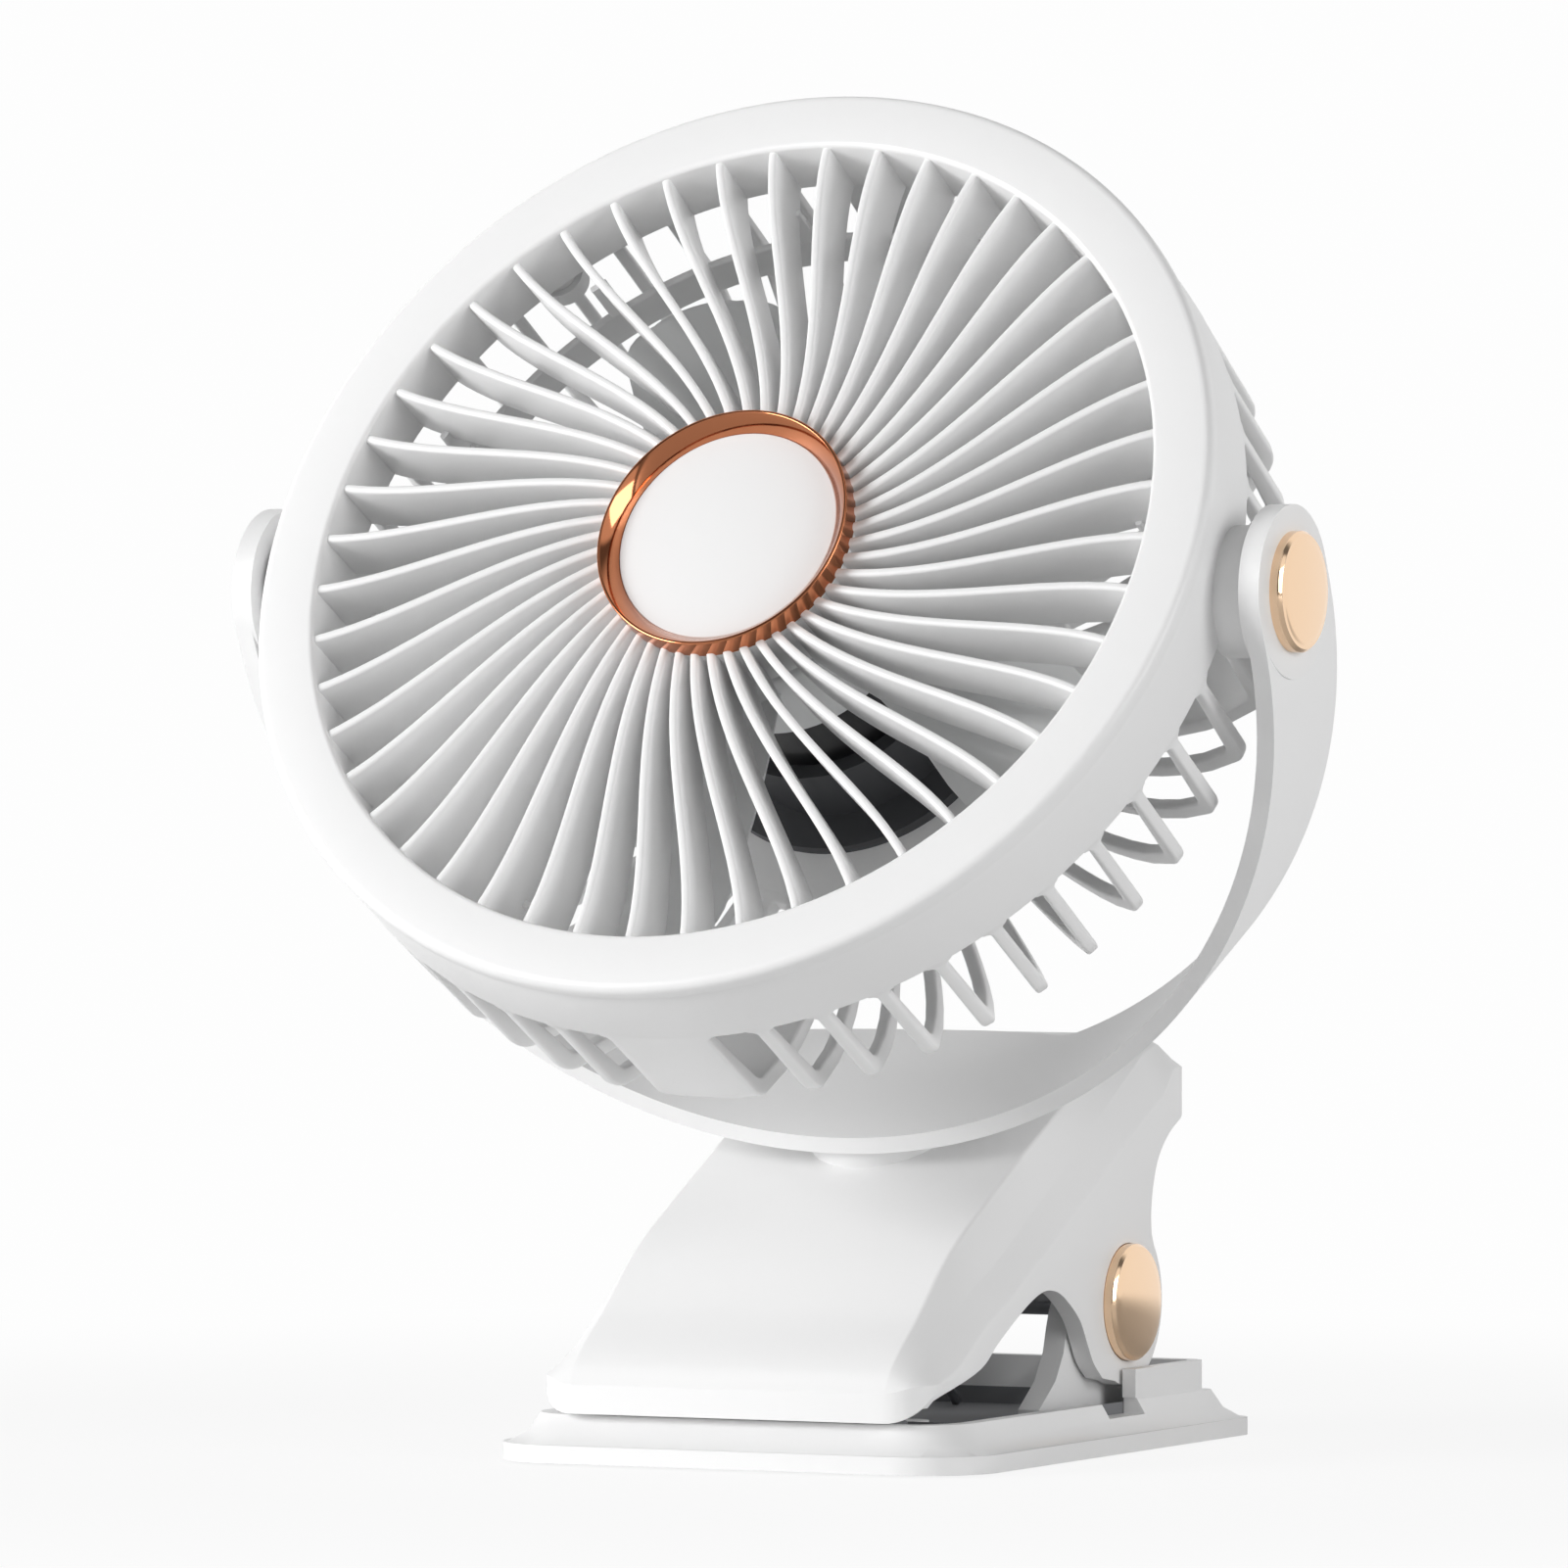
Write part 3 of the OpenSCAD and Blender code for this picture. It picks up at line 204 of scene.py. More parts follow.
def closedMesh(name, points, faces, place):
    mesh = bpy.data.meshes.new(name)
    mesh.from_pydata([(place @ Vector(p)) * 0.001 for p in points], [], faces)
    form = bmesh.new()
    form.from_mesh(mesh)
    bmesh.ops.remove_doubles(form, verts=form.verts, dist=1e-7)
    bmesh.ops.dissolve_degenerate(form, edges=form.edges, dist=1e-7)
    bmesh.ops.recalc_face_normals(form, faces=form.faces)
    form.to_mesh(mesh)
    form.free()
    return mesh


def mergedMesh(mesh, angle):
    # doubles merged, and faces that differ by less than the angle made one
    form = bmesh.new()
    form.from_mesh(mesh)
    bmesh.ops.remove_doubles(form, verts=form.verts, dist=2e-6)
    bmesh.ops.dissolve_limit(form, angle_limit=math.radians(angle), verts=form.verts, edges=form.edges)
    form.to_mesh(mesh)
    form.free()
    return mesh


def roundCorners(corners, steps):
    # each corner is (across, along, radius), and the outline is closed
    outline = []
    for i, corner in enumerate(corners):
        here = Vector(corner[:2])
        radius = corner[2] if len(corner) > 2 else 0
        before = Vector(corners[i - 1][:2]) - here
        after = Vector(corners[(i + 1) % len(corners)][:2]) - here
        if radius <= 0:
            outline.append(tuple(here))
            continue
        half = before.angle(after) / 2
        reach = min(radius / math.tan(half), before.length * 0.49, after.length * 0.49)
        radius = reach * math.tan(half)
        centre = here + (before.normalized() + after.normalized()).normalized() * radius / math.sin(half)
        first = here + before.normalized() * reach - centre
        last = here + after.normalized() * reach - centre
        start = math.atan2(first.y, first.x)
        turn = (math.atan2(last.y, last.x) - start + math.pi) % (2 * math.pi) - math.pi
        for k in range(steps + 1):
            angle = start + turn * k / steps
            outline.append((centre.x + radius * math.cos(angle), centre.y + radius * math.sin(angle)))
    return outline


def curveThrough(points, steps):
    # a smooth curve through the points of an open outline
    curve = []
    for i in range(len(points) - 1):
        before, a, b, after = (Vector(points[min(max(j, 0), len(points) - 1)]) for j in range(i - 1, i + 3))
        for k in range(steps):
            t = k / steps
            curve.append(tuple(a + (b - before) * t / 2 + (2 * before - 5 * a + 4 * b - after) * t ** 2 / 2
                               + (3 * a - before - 3 * b + after) * t ** 3 / 2))
    return curve + [points[-1]]


def turnedForm(name, outline, segments, place=Matrix()):
    # outline of (radius, height), turned round z
    points, faces, n = [], [], len(outline)
    for k in range(segments):
        angle = 2 * math.pi * k / segments
        points += [(r * math.cos(angle), r * math.sin(angle), z) for r, z in outline]
        other = (k + 1) % segments
        faces += [(k * n + i, k * n + (i + 1) % n, other * n + (i + 1) % n, other * n + i) for i in range(n)]
    return closedMesh(name, points, faces, place)


def loftedForm(name, sections, place=Matrix()):
    # sections are loops of equally many points, and the first and last are filled
    n, count = len(sections[0]), len(sections)
    points = [p for section in sections for p in section]
    faces = []
    for k in range(count - 1):
        other = k + 1
        faces += [(k * n + i, k * n + (i + 1) % n, other * n + (i + 1) % n, other * n + i) for i in range(n)]
    faces += [tuple(range(n)), tuple(range((count - 1) * n, count * n))]
    return closedMesh(name, points, faces, place)


def joinMeshes(name, meshes):
    form = bmesh.new()
    for mesh in meshes:
        form.from_mesh(mesh)
        bpy.data.meshes.remove(mesh)
    joined = bpy.data.meshes.new(name)
    form.to_mesh(joined)
    form.free()
    return joined


def carved(name, mesh, steps):
    # joins to a closed form, or cuts from it, other closed forms, each given as (operation, mesh)
    base = linkObject(name, mesh)
    tools = []
    for operation, tool in steps:
        tools.append(linkObject("tool", tool))
        step = base.modifiers.new("step", "BOOLEAN")
        step.operation, step.object, step.solver = operation, tools[-1], "EXACT"
    result = evaluatedMesh(base)
    for used in [base] + tools:
        bpy.data.objects.remove(used)
    return mergedMesh(result, 0.5)


def nodeCopy(node):
    # a merged copy of a frame node's mesh
    mesh = frame["nodes"][node].data.copy()
    mesh.materials.clear()
    return mergedMesh(mesh, 1.0)


def finishPiece(name, mesh, body, slot, stands=(), sharp=40, bevel=0.0, bevelSteps=2):
    if not mesh.materials:
        mesh.materials.append(finishes[slot])
    mesh.shade_smooth()
    mesh.set_sharp_from_angle(angle=math.radians(sharp))
    piece = linkObject(name, mesh)
    if bevel > 0:
        softened = piece.modifiers.new("edges", "BEVEL")
        softened.width, softened.segments = bevel * 0.001, bevelSteps
        softened.limit_method, softened.angle_limit = "ANGLE", math.radians(30)
        softened.harden_normals = True
    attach(piece, body)
    if stands:
        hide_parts(*stands)


# Geometry Nodes trees

def newTree(name, inputs):
    tree = bpy.data.node_groups.new(name, "GeometryNodeTree")
    tree.interface.new_socket("Geometry", in_out="INPUT", socket_type="NodeSocketGeometry")
    for label, kind in inputs:
        tree.interface.new_socket(label, in_out="INPUT", socket_type=kind)
    tree.interface.new_socket("Geometry", in_out="OUTPUT", socket_type="NodeSocketGeometry")
    return tree, tree.nodes.new("NodeGroupInput"), tree.nodes.new("NodeGroupOutput")


def endTree(tree, given, result, geometry):
    real = addNode(tree, "GeometryNodeRealizeInstances", None, {"Geometry": geometry})
    coated = addNode(tree, "GeometryNodeSetMaterial", None,
                     {"Geometry": real.outputs[0], "Material": given.outputs["Material"]})
    tree.links.new(coated.outputs[0], result.inputs[0])
    return tree


def mathNode(tree, operation, a, b):
    return addNode(tree, "ShaderNodeMath", {"operation": operation}, {0: a, 1: b}).outputs[0]


def buildRoundTree():
    # copies of one form round z, in groups: copy i turns by
    # First + Group Angle * (i // Group Size) + Step * (i % Group Size)
    tree, given, result = newTree("copiesRoundAxis", [
        ("Count", "NodeSocketInt"), ("Group Size", "NodeSocketInt"), ("Group Angle", "NodeSocketFloat"),
        ("Step", "NodeSocketFloat"), ("First", "NodeSocketFloat"), ("Material", "NodeSocketMaterial")])
    dots = addNode(tree, "GeometryNodePoints", None, {"Count": given.outputs["Count"]})
    index = addNode(tree, "GeometryNodeInputIndex").outputs[0]
    group = mathNode(tree, "FLOOR", mathNode(tree, "DIVIDE", index, given.outputs["Group Size"]), 0.0)
    within = mathNode(tree, "SUBTRACT", index, mathNode(tree, "MULTIPLY", group, given.outputs["Group Size"]))
    angle = mathNode(tree, "ADD", mathNode(tree, "MULTIPLY", group, given.outputs["Group Angle"]),
                     mathNode(tree, "MULTIPLY", within, given.outputs["Step"]))
    angle = mathNode(tree, "RADIANS", mathNode(tree, "ADD", angle, given.outputs["First"]), 0.0)
    turn = addNode(tree, "ShaderNodeCombineXYZ", None, {"Z": angle})
    copies = addNode(tree, "GeometryNodeInstanceOnPoints", None, {
        "Points": dots.outputs[0], "Instance": given.outputs["Geometry"], "Rotation": turn.outputs[0]})
    return endTree(tree, given, result, copies.outputs[0])


def buildWireTree():
    # a round wire along a curve
    tree, given, result = newTree("wireAlongCurve", [
        ("Radius", "NodeSocketFloat"), ("Sides", "NodeSocketInt"), ("Material", "NodeSocketMaterial")])
    circle = addNode(tree, "GeometryNodeCurvePrimitiveCircle", None,
                     {"Resolution": given.outputs["Sides"], "Radius": given.outputs["Radius"]})
    tube = addNode(tree, "GeometryNodeCurveToMesh", None, {
        "Curve": given.outputs["Geometry"], "Profile Curve": circle.outputs[0], "Fill Caps": True})
    return endTree(tree, given, result, tube.outputs[0])


roundTree = buildRoundTree()
wireTree = buildWireTree()


def runTree(name, source, tree, values, place=Matrix()):
    modifier = source.modifiers.new(name, "NODES")
    modifier.node_group = tree
    for item in tree.interface.items_tree:
        if item.in_out == "INPUT" and item.name in values:
            modifier[item.identifier] = values[item.name]
    mesh = evaluatedMesh(source)
    source.modifiers.clear()
    bpy.data.objects.remove(source)
    metres = place.copy()
    metres.translation *= 0.001
    mesh.transform(metres)
    return mesh


def copiesRound(name, mesh, slot, place, count, step, first=0.0, groupSize=None, groupAngle=0.0):
    return runTree(name, linkObject(name, mesh), roundTree, {
        "Count": count, "Group Size": groupSize or count, "Group Angle": float(groupAngle),
        "Step": float(step), "First": float(first), "Material": finishes[slot]}, place)


# Posts of the front grille and lugs of the rear housing, where screws join the two

screwPlaces = {"count": 4, "radius": 76.4, "first": 41.4, "post": 3, "postBack": 4.7, "postFront": 16,
               "lug": 4, "lugBack": 1.7}


def atScrews(name, outline):
    form = turnedForm(name, outline, 32)
    form.transform(Matrix.Translation((screwPlaces["radius"] * 0.001, 0, 0)))
    return copiesRound(name + "s", form, "white_plastic", headPlace, screwPlaces["count"], 90,
                       screwPlaces["first"])


# Front grille

grille = {"ring": 82.5, "face": 10, "front": 19, "ringDepth": 3, "ringRound": 1.5, "innerRound": 0.9,
          "innerWall": 1.5, "vanes": 48, "vaneThickness": 1.5, "vaneDraft": 0.35, "vaneFront": 18.2,
          "vaneDepth": 11.5, "vaneRound": 0.55, "vaneBackRound": 0.25, "vaneInHub": 1.6, "vaneInRing": 0.8,
          "vaneStations": 20, "sweep": 17, "sweepSpan": 50, "bend": 1.9, "guide": 66, "guideWall": 1.4,
          "guideBack": -6.3, "guideLength": 7, "guideRound": 0.4, "legs": 12, "legHalf": 1.5, "legFirst": 7.5,
          "legInner": 66.1, "legOuter": 67.2, "cup": 21.3, "cupInner": 19.6, "cupFloor": 2, "hub": 21.6,
          "hubSeat": 17.5, "hubFront": 21.3, "hubRim": 0.5, "cap": 18.8, "capTop": 18.6, "capRound": 0.25}


def vanePoint(radius):
    # on the middle line of a vane, seen along the fan's axis
    inner = grille["ring"] - grille["face"]
    turn = (max(0, inner - radius) / grille["sweepSpan"]) ** grille["bend"]
    angle = -math.radians(grille["sweep"]) * turn
    return Vector((radius * math.cos(angle), radius * math.sin(angle)))


def vaneMesh():
    g = grille
    first, last = g["hub"] - g["vaneInHub"], g["ring"] - g["face"] + g["vaneInRing"]
    half, back = g["vaneThickness"] / 2, g["vaneFront"] - g["vaneDepth"]
    backHalf = half - g["vaneDraft"]
    outline = roundCorners([
        (-half, g["vaneFront"], g["vaneRound"]), (half, g["vaneFront"], g["vaneRound"]),
        (backHalf, back, g["vaneBackRound"]), (-backHalf, back, g["vaneBackRound"])], 3)
    sections = []
    for k in range(g["vaneStations"] + 1):
        radius = first + (last - first) * k / g["vaneStations"]
        along = (vanePoint(radius + 0.3) - vanePoint(radius - 0.3)).normalized()
        middle = vanePoint(radius)
        sections.append([(middle.x - along.y * u, middle.y + along.x * u, z) for u, z in outline])
    return loftedForm("vane", sections)


def makeGrille():
    g = grille
    inner, back = g["ring"] - g["face"], g["vaneFront"] - g["vaneDepth"]
    ring = turnedForm("ring", roundCorners([
        (g["ring"], g["front"] - g["ringDepth"], 0.3), (g["ring"], g["front"], g["ringRound"]),
        (inner, g["front"], g["innerRound"]), (inner, back, 0.4), (inner + g["innerWall"], back, 0.3),
        (inner + g["innerWall"], g["front"] - g["ringDepth"], 0)], 5), 240, headPlace)
    vanes = copiesRound("vanes", vaneMesh(), "white_plastic", headPlace, g["vanes"], 360 / g["vanes"])
    cup = turnedForm("cup", roundCorners([
        (0, g["hubSeat"]), (g["cup"], g["hubSeat"], 0.2), (g["cup"], back, 0.5), (g["cupInner"], back, 0.5),
        (g["cupInner"], g["hubSeat"] - g["cupFloor"]), (0, g["hubSeat"] - g["cupFloor"])], 3), 144, headPlace)
    guideFront, guideOuter = g["guideBack"] + g["guideLength"], g["guide"] + g["guideWall"]
    edge = g["guideRound"]
    guide = turnedForm("guide", roundCorners([
        (g["guide"], g["guideBack"], edge), (guideOuter, g["guideBack"], edge),
        (guideOuter, guideFront, edge), (g["guide"], guideFront, edge)], 3), 200, headPlace)
    outline = roundCorners([(g["legInner"], -g["legHalf"], 0.3), (g["legOuter"], -g["legHalf"], 0.3),
                            (g["legOuter"], g["legHalf"], 0.3), (g["legInner"], g["legHalf"], 0.3)], 2)
    leg = loftedForm("leg", [[(x, y, z) for x, y in outline] for z in (guideFront - 1, back + 2)])
    legs = copiesRound("legs", leg, "white_plastic", headPlace, g["legs"], 360 / g["legs"], g["legFirst"])
    s = screwPlaces
    posts = atScrews("post", roundCorners([
        (0, s["postBack"]), (s["post"], s["postBack"], 0.2), (s["post"], s["postFront"]),
        (0, s["postFront"])], 2))
    finishPiece("frontGrille", joinMeshes("frontGrille", [ring, vanes, cup, guide, legs, posts]), "head",
                "white_plastic", ["front_grille"])
    hubRing = turnedForm("hubRing", roundCorners([
        (g["cap"], g["hubSeat"]), (g["hub"], g["hubSeat"]), (g["hub"], g["hubFront"], 0.3),
        (g["hub"] - g["hubRim"], g["hubFront"], 0.2), (g["cap"] + 0.05, g["capTop"] + 0.1)], 4),
        240, headPlace)
    # the hub ring gets the darker, redder copy of the rose gold, which paints in its dark reflections
    hubRing.materials.append(roseGoldPaintedDarkReflection)
    finishPiece("hubRing", hubRing, "head", "rose_gold", ["hub_ring"], sharp=50)
    hubCap = turnedForm("hubCap", roundCorners([
        (0, g["hubSeat"]), (g["cap"], g["hubSeat"]), (g["cap"], g["capTop"], g["capRound"]),
        (0, g["capTop"] + 0.1)], 4), 180, headPlace)
    finishPiece("hubCap", hubCap, "head", "white_plastic", ["hub_cap"], sharp=50)


makeGrille()
print("grille made")


# Rear housing

housing = {"band": 82.2, "bandWall": 2.0, "bandFront": 16, "bandEnd": 1.7, "wall": 3, "bend": 7,
           "bendMiddle": 74.5, "bendZ": -17.5, "plate": 35, "plateBack": -40.5, "plateRim": 2, "bar": 2.2,
           "barRound": 0.55, "bandFlare": 1.7, "plateFlare": 0.9, "slots": 11, "pitch": 7.2, "boss": 10.5,
           "bossFace": 86.95, "bossStep": 80.6, "stem": 6, "stemRoot": 73.7}


def domeArc():
    # radius, centre height and first angle of the domed back, tangent to the plate and to the bars' bend
    h = housing
    across, drop = h["bendMiddle"] - h["plate"], h["bendZ"] - h["plateBack"]
    radius = (across ** 2 + drop ** 2 - h["bend"] ** 2) / (2 * (drop - h["bend"]))
    return radius, h["plateBack"] + radius, math.atan2(drop - radius, across)


def barPath():
    # stations of (radius, height, outward radius part, outward height part, depth) from band to plate
    h = housing
    domeRadius, domeZ, first = domeArc()
    path = []
    for below in (-0.6, 0.05, 0.35, 0.8, 1.3, 1.9, 6, 11, h["bandEnd"] - h["bendZ"]):
        share = min(1, max(0, below / (h["bandEnd"] - h["bendZ"])))
        outer = h["band"] + (h["bendMiddle"] + h["bend"] - h["band"]) * share
        path.append((outer, h["bandEnd"] - below, 1, 0, h["bandWall"] + (h["wall"] - h["bandWall"]) * share))
    for k in range(1, 7):
        a = first * k / 6
        path.append((h["bendMiddle"] + h["bend"] * math.cos(a), h["bendZ"] + h["bend"] * math.sin(a),
                     math.cos(a), math.sin(a), h["wall"]))
    for r in (72, 66, 60, 54, 48, 43, 39.5, 38.6, 37.8, 37.1, 36.4, 35.2):
        a = -math.acos((r - h["plate"]) / domeRadius)
        path.append((r, domeZ + domeRadius * math.sin(a), math.cos(a), math.sin(a), h["wall"]))
    return path


def barHalfWidth(radius, z, angle):
    # half the width of a bar, which flares where it meets the band and the plate
    h = housing
    half = radius * math.tan(math.radians(angle)) + h["bar"] / 2
    ends = [(h["bandEnd"] - z, h["bandFlare"])]
    if z < h["bendZ"]:
        ends.append((radius - h["plate"] - 1.5, h["plateFlare"]))
    for near, flare in ends:
        if near < flare:
            half += flare - math.sqrt(max(0, flare ** 2 - (flare - max(0, near)) ** 2))
    return half


def barMesh(name, angle, across):
    # one bar, or a whole closed patch when angle is the half angle it fills
    edge = housing["barRound"]
    sections = []
    for radius, z, nr, nz, depth in barPath():
        half = barHalfWidth(radius, z, angle)
        outline = roundCorners([
            (-half, 0, edge), (half, 0, edge), (half, -depth, edge), (-half, -depth, edge)], 3)
        if across > 1:
            flat = [half * (2 * k / across - 1) for k in range(1, across)]
            top = [(u, 0) for u in flat if abs(u) < half - edge - 0.1]
            low = [(u, -depth) for u in reversed(flat) if abs(u) < half - edge - 0.1]
            while len(top) < across - 1:
                top.append(top[-1])
                low.insert(0, low[0])
            outline = outline[:4] + top + outline[4:12] + low + outline[12:]
        section = []
        for u, d in outline:
            r, height = radius + nr * d, z + nz * d
            turn = u / radius
            section.append((r * math.cos(turn), r * math.sin(turn), height))
        sections.append(section)
    return loftedForm(name, sections)


def makeHousing():
    h = housing
    band = turnedForm("band", roundCorners([
        (h["band"], h["bandFront"], 0.2), (h["band"], h["bandEnd"], 0.5),
        (h["band"] - h["bandWall"], h["bandEnd"], 0.5), (h["band"] - h["bandWall"], h["bandFront"], 0)], 4),
        240, headPlace)
    perQuarter = h["slots"] - 1
    first = 45 - h["pitch"] * (perQuarter - 1) / 2
    bars = copiesRound("bars", barMesh("bar", 0, 1), "white_plastic", headPlace, 4 * perQuarter, h["pitch"],
                       first, perQuarter, 90)
    halfPatch = 45 - h["pitch"] * h["slots"] / 2
    patches = copiesRound("patches", barMesh("patch", halfPatch, 10), "white_plastic", headPlace, 4, 90)
    rim, inside = h["plate"] + h["plateRim"], h["plateBack"] + h["wall"]
    plate = turnedForm("plate", roundCorners([
        (0, h["plateBack"]), (h["plate"], h["plateBack"]), (rim, h["plateBack"] + 0.03, 0.5),
        (rim - 0.1, inside, 0.5), (0, inside)], 4), 120, headPlace)
    parts = [band, bars, patches, plate]
    for side in (1, -1):
        parts.append(turnedForm("boss", roundCorners([
            (0, h["stemRoot"]), (h["stem"], h["stemRoot"], 0.4), (h["stem"], h["bossStep"]),
            (h["boss"], h["bossStep"]), (h["boss"], h["bossFace"], 0.7), (0, h["bossFace"])], 4), 72,
            Matrix.Translation(pivot) @ towardsSide(side)))
    s = screwPlaces
    parts.append(atScrews("lug", [
        (0, s["lugBack"]), (s["lug"], s["lugBack"]), (s["lug"], s["postBack"]), (0, s["postBack"])]))
    finishPiece("rearHousing", joinMeshes("rearHousing", parts), "head", "white_plastic", ["rear_housing"])


makeHousing()
print("housing made")


# Impeller

impeller = {"hub": 20, "hubWall": 1.6, "hubTop": 4.5, "hubEnd": -11, "boss": 4, "bore": 1.5, "blades": 5,
            "tip": 63.5, "width": 29, "rootHalf": 8, "bulge": 1.5, "sweep": 7, "corner": 8, "thickness": 1.6,
            "edgeShare": 0.35, "noseShare": 0.18, "camber": 1.1, "pitch": 25, "twist": 5, "middle": -3.45,
            "first": -20, "chordSteps": 14}


def bladeEdges(radius, share):
    # the two edges of a blade at a radius, measured along its chord
    b = impeller
    ease, root = share * share * (3 - 2 * share), b["rootHalf"]
    high, low = b["width"] / 2 - b["sweep"], -b["width"] / 2 - b["sweep"]
    top = root + (high - root) * share + b["bulge"] * math.sin(math.pi * share)
    bottom = -root + (low + root) * ease
    past = radius - (b["tip"] - b["corner"] - 0.6)
    if past > 0:
        drop = b["corner"] - math.sqrt(b["corner"] ** 2 - min(b["corner"] - 0.02, past) ** 2)
        top, bottom = top - drop, bottom + drop
    return bottom, top


def bladeMesh():
    b = impeller
    root, wide, half = b["hub"] - 1.4, b["tip"] - b["corner"] - 0.6, b["thickness"] / 2
    radii = [root, 24, 30, 36, 42] + [wide + past for past in (-5, 0, 2, 4, 5.5, 6.7, 7.5, 7.95, 8.3)]
    sections = []
    for r in radii:
        share = min(1, (r - root) / (wide - root))
        bottom, top = bladeEdges(r, share)
        pitch = math.radians(b["pitch"] + b["twist"] * (1 - 2 * share))
        upper, lower = [], []
        for k in range(b["chordSteps"] + 1):
            t = k / b["chordSteps"]
            v = bottom + (top - bottom) * t
            thin = half * b["noseShare"]
            if 0 < t < 1:
                thin = half * (b["edgeShare"] + (1 - b["edgeShare"]) * math.sin(math.pi * t) ** 0.5)
            camber = b["camber"] * math.sin(math.pi * t) * share
            upper.append((v, camber + thin))
            lower.append((v, camber - thin))
        sections.append([(r, v * math.cos(pitch) - w * math.sin(pitch),
                          b["middle"] + v * math.sin(pitch) + w * math.cos(pitch))
                         for v, w in upper + lower[::-1]])
    return loftedForm("blade", sections)


def makeImpeller():
    b = impeller
    inner, ceiling = b["hub"] - b["hubWall"], b["hubTop"] - b["hubWall"]
    hub = turnedForm("hub", roundCorners([
        (0, b["hubTop"]), (b["hub"], b["hubTop"], 1.6), (b["hub"], b["hubEnd"], 0.3),
        (inner, b["hubEnd"], 0.3), (inner, ceiling, 0.4), (b["boss"], ceiling), (b["boss"], b["hubEnd"] + 2),
        (b["bore"], b["hubEnd"] + 2), (b["bore"], b["hubTop"] - 1.5), (0, b["hubTop"] - 1.5)], 4),
        96, headPlace)
    blades = copiesRound("blades", bladeMesh(), "blade_plastic", headPlace, b["blades"], 360 / b["blades"],
                         b["first"])
    finishPiece("impellerWheel", joinMeshes("impellerWheel", [hub, blades]), "impeller", "blade_plastic",
                ["impeller"], sharp=45)


makeImpeller()
print("impeller made")


# Rose gold caps of the yoke and the clip

metalCaps = {"radius": 9.6, "edge": 0.55, "dome": 0.7, "gap": 0.12, "domeSteps": 8}


def metalCap(name, place, floor, face, stands, body):
    m = metalCaps
    shoulder = face - m["dome"]
    dome = [1 - k / m["domeSteps"] for k in range(1, m["domeSteps"] + 1)]
    cap = turnedForm(name, roundCorners([
        (0, floor), (m["radius"], floor), (m["radius"], shoulder - m["edge"], 0.3),
        (m["radius"] - m["edge"], shoulder, 0.2)], 4) + [
        (m["radius"] * share, face - m["dome"] * share ** 2) for share in dome], 128, place)
    finishPiece(name, cap, body, "rose_gold", [stands], sharp=50)


def capSeat(place, floor, outside, segments):
    # the round recess for a cap
    r = metalCaps["radius"] + metalCaps["gap"]
    return turnedForm("capSeat", [(0, floor), (r, floor), (r, outside), (0, outside)], segments, place)


# Yoke

yoke = {"radius": 91.3, "drop": 3.1, "strap": 2.9, "end": 13.8, "endInner": 87.8, "belly": 45,
        "bellyReach": 25.4, "bellyBlend": 2.5, "edge": 0.4, "arcSteps": 120, "capFloor": 90.7,
        "capFace": 94.0, "disc": 12, "discFoot": 0.15, "discTop": 5.4, "stem": 4, "stemEnd": -2.55}


def smoothMax(a, b, blend):
    h = max(0, min(1, 0.5 + 0.5 * (a - b) / blend))
    return b + (a - b) * h + blend * h * (1 - h)


def makeYoke():
    y = yoke
    straight = (0.0, -1.5)
    stations = [(1, z) for z in straight]
    stations += [(0, math.pi * k / y["arcSteps"]) for k in range(y["arcSteps"] + 1)]
    stations += [(-1, z) for z in reversed(straight)]
    sections = []
    for side, value in stations:
        if side:
            normal = Vector((side, 0))
            outer = Vector((side * y["radius"], value))
        else:
            normal = Vector((math.cos(value), -math.sin(value)))
            outer = Vector((0, -y["drop"])) + normal * y["radius"]
        reach = y["end"]
        if abs(outer.x) < y["belly"] - 1:
            belly = y["bellyReach"] - y["belly"] + math.sqrt(y["belly"] ** 2 - outer.x ** 2)
            reach = smoothMax(belly, reach, y["bellyBlend"])
        outline = [(-y["end"], 0), (reach, 0), (reach, -y["strap"]), (-y["end"], -y["strap"])]
        sections.append([(outer.x + normal.x * d, v, outer.y + normal.y * d) for v, d in outline])
    strap = loftedForm("strap", sections, yokePlace)
    steps = []
    for side in (1, -1):
        place = yokePlace @ towardsSide(side)
        steps.append(("UNION", turnedForm("end", [
            (0, y["endInner"]), (y["end"], y["endInner"]), (y["end"], y["radius"]), (0, y["radius"])],
            120, place)))
        steps.append(("DIFFERENCE", capSeat(place, y["capFloor"], 99, 120)))
        sideName = "Right" if side > 0 else "Left"
        metalCap("tiltCap" + sideName, place, y["capFloor"], y["capFace"], "tilt_cap_" + sideName.lower(),
                 "yoke")
    finishPiece("yokeStrap", carved("yokeStrap", strap, steps), "yoke", "white_plastic", ["yoke"],
                bevel=y["edge"], bevelSteps=3)
    disc = turnedForm("swivelDisc", roundCorners([
        (0, y["stemEnd"]), (y["stem"], y["stemEnd"], 0.3), (y["stem"], y["discFoot"]),
        (y["disc"], y["discFoot"], 0.5), (y["disc"], y["discTop"]), (0, y["discTop"])], 4), 96, deckPlace)
    finishPiece("swivelDisc", disc, "yoke", "white_plastic", ["swivel_post"], sharp=45)


makeYoke()
print("yoke made")
